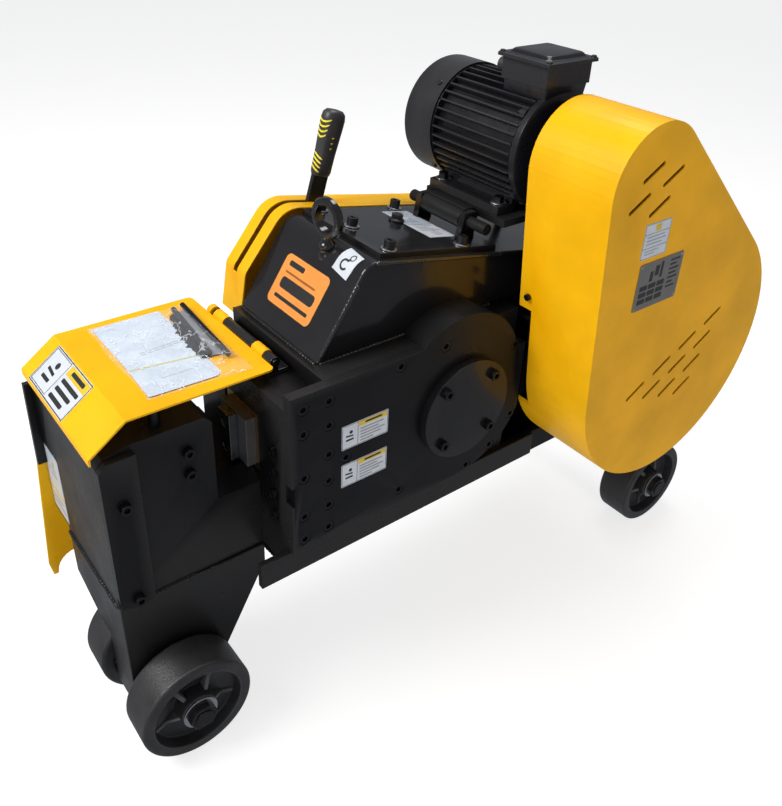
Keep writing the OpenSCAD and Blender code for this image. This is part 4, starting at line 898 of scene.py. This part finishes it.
def area_light(name, place, aim, size, power, color=(1, 1, 1)):
    data = bpy.data.lights.new(name, "AREA")
    data.shape = "RECTANGLE"
    data.size, data.size_y = size
    data.energy = power
    data.color = color
    obj = bpy.data.objects.new(name, data)
    obj.location = place
    obj.rotation_mode = "QUATERNION"
    obj.rotation_quaternion = (Vector(place) - Vector(aim)).to_track_quat("Z", "Y")
    bpy.context.scene.collection.objects.link(obj)


def build_floor():
    """A plain pale floor, faintly lit from within so that it stays pale as far as the horizon."""
    half = 30.0
    corners = [(-half, -half, 0), (half, -half, 0), (half, half, 0), (-half, half, 0)]
    mat = new_material("floor", (0.38, 0.38, 0.38), 0.9, Emission_Color=(1, 1, 1, 1), Emission_Strength=0.76)
    wire(mat, patchy(mat, 3, 3, (0.37, 0.37, 0.37), (0.39, 0.39, 0.39), 0.5), shader_input(mat, "Base Color"))
    floor = new_object("floor", corners, [(0, 1, 2, 3)], mat)
    floor.visible_glossy = False


def build_backdrop():
    """A wide pale dome that only the camera sees, so that the floor has no dark horizon."""
    reach, around, levels = 29.0, 64, 10
    points = []
    for j in range(levels):
        high = math.radians(10 * j - 1)
        points += [(u, v, reach * math.sin(high)) for u, v in disc(0, 0, reach * math.cos(high), around)]
    faces = [(j * around + i, j * around + (i + 1) % around, (j + 1) * around + (i + 1) % around,
              (j + 1) * around + i) for j in range(levels - 1) for i in range(around)]
    pale = new_material("backdrop", (0, 0, 0), 1.0, Emission_Color=(1, 1, 1, 1), Emission_Strength=0.86,
                        Specular_IOR_Level=0.0)
    dome = new_object("backdrop", points, faces, pale)
    dome.data.shade_smooth()
    dome.visible_diffuse = dome.visible_glossy = dome.visible_transmission = dome.visible_shadow = False


def build_light():
    scene = bpy.context.scene
    world = bpy.data.worlds.new("studio")
    world.use_nodes = True
    background = world.node_tree.nodes["Background"]
    background.inputs["Color"].default_value = (0.9, 0.93, 1.0, 1)
    background.inputs["Strength"].default_value = 0.27
    scene.world = world
    scene.view_settings.view_transform = "Standard"
    area_light("key", (-2.6, 0.9, 3.1), (0, 0, 0.5), (1.8, 1.8), 120, (1.0, 0.98, 0.95))
    area_light("top", (0.9, 0.5, 3.4), (0.2, 0, 0.6), (1.4, 2.2), 50)
    area_light("front", (-3.4, -1.6, 1.2), (0, 0, 0.5), (1.2, 1.2), 9)


def build_camera():
    """The camera of a three-quarter view from the cutting head's side."""
    place = (-0.8635, -0.9612, 1.3195)
    azimuth, elevation, roll = (math.radians(a) for a in (-39.28, 30.73, 2.734))
    back = Vector((math.sin(azimuth) * math.cos(elevation), -math.cos(azimuth) * math.cos(elevation),
                   math.sin(elevation)))
    level = Vector((math.cos(azimuth), math.sin(azimuth), 0))
    up = back.cross(level)
    right = level * math.cos(roll) + up * math.sin(roll)
    over = up * math.cos(roll) - level * math.sin(roll)
    data = bpy.data.cameras.new("camera")
    data.lens = 37.46
    data.sensor_width = 36
    data.shift_x = -0.0015
    data.shift_y = -0.0735
    data.clip_start, data.clip_end = 0.05, 60
    obj = bpy.data.objects.new("camera", data)
    obj.matrix_world = Matrix.Translation(place) @ Matrix((right, over, back)).transposed().to_4x4()
    bpy.context.scene.collection.objects.link(obj)
    bpy.context.scene.camera = obj


for make in (side_labels, hood_label, crown_label, top_labels, guard_plates, flap_label, wall_label,
             all_welds, washers, far_cap_screws, eye_collar, grip, fan_cover, box_cover, box_skirt,
             shield_bolts, wheel_details, pouch, build_floor, build_backdrop, build_light, build_camera):
    make()
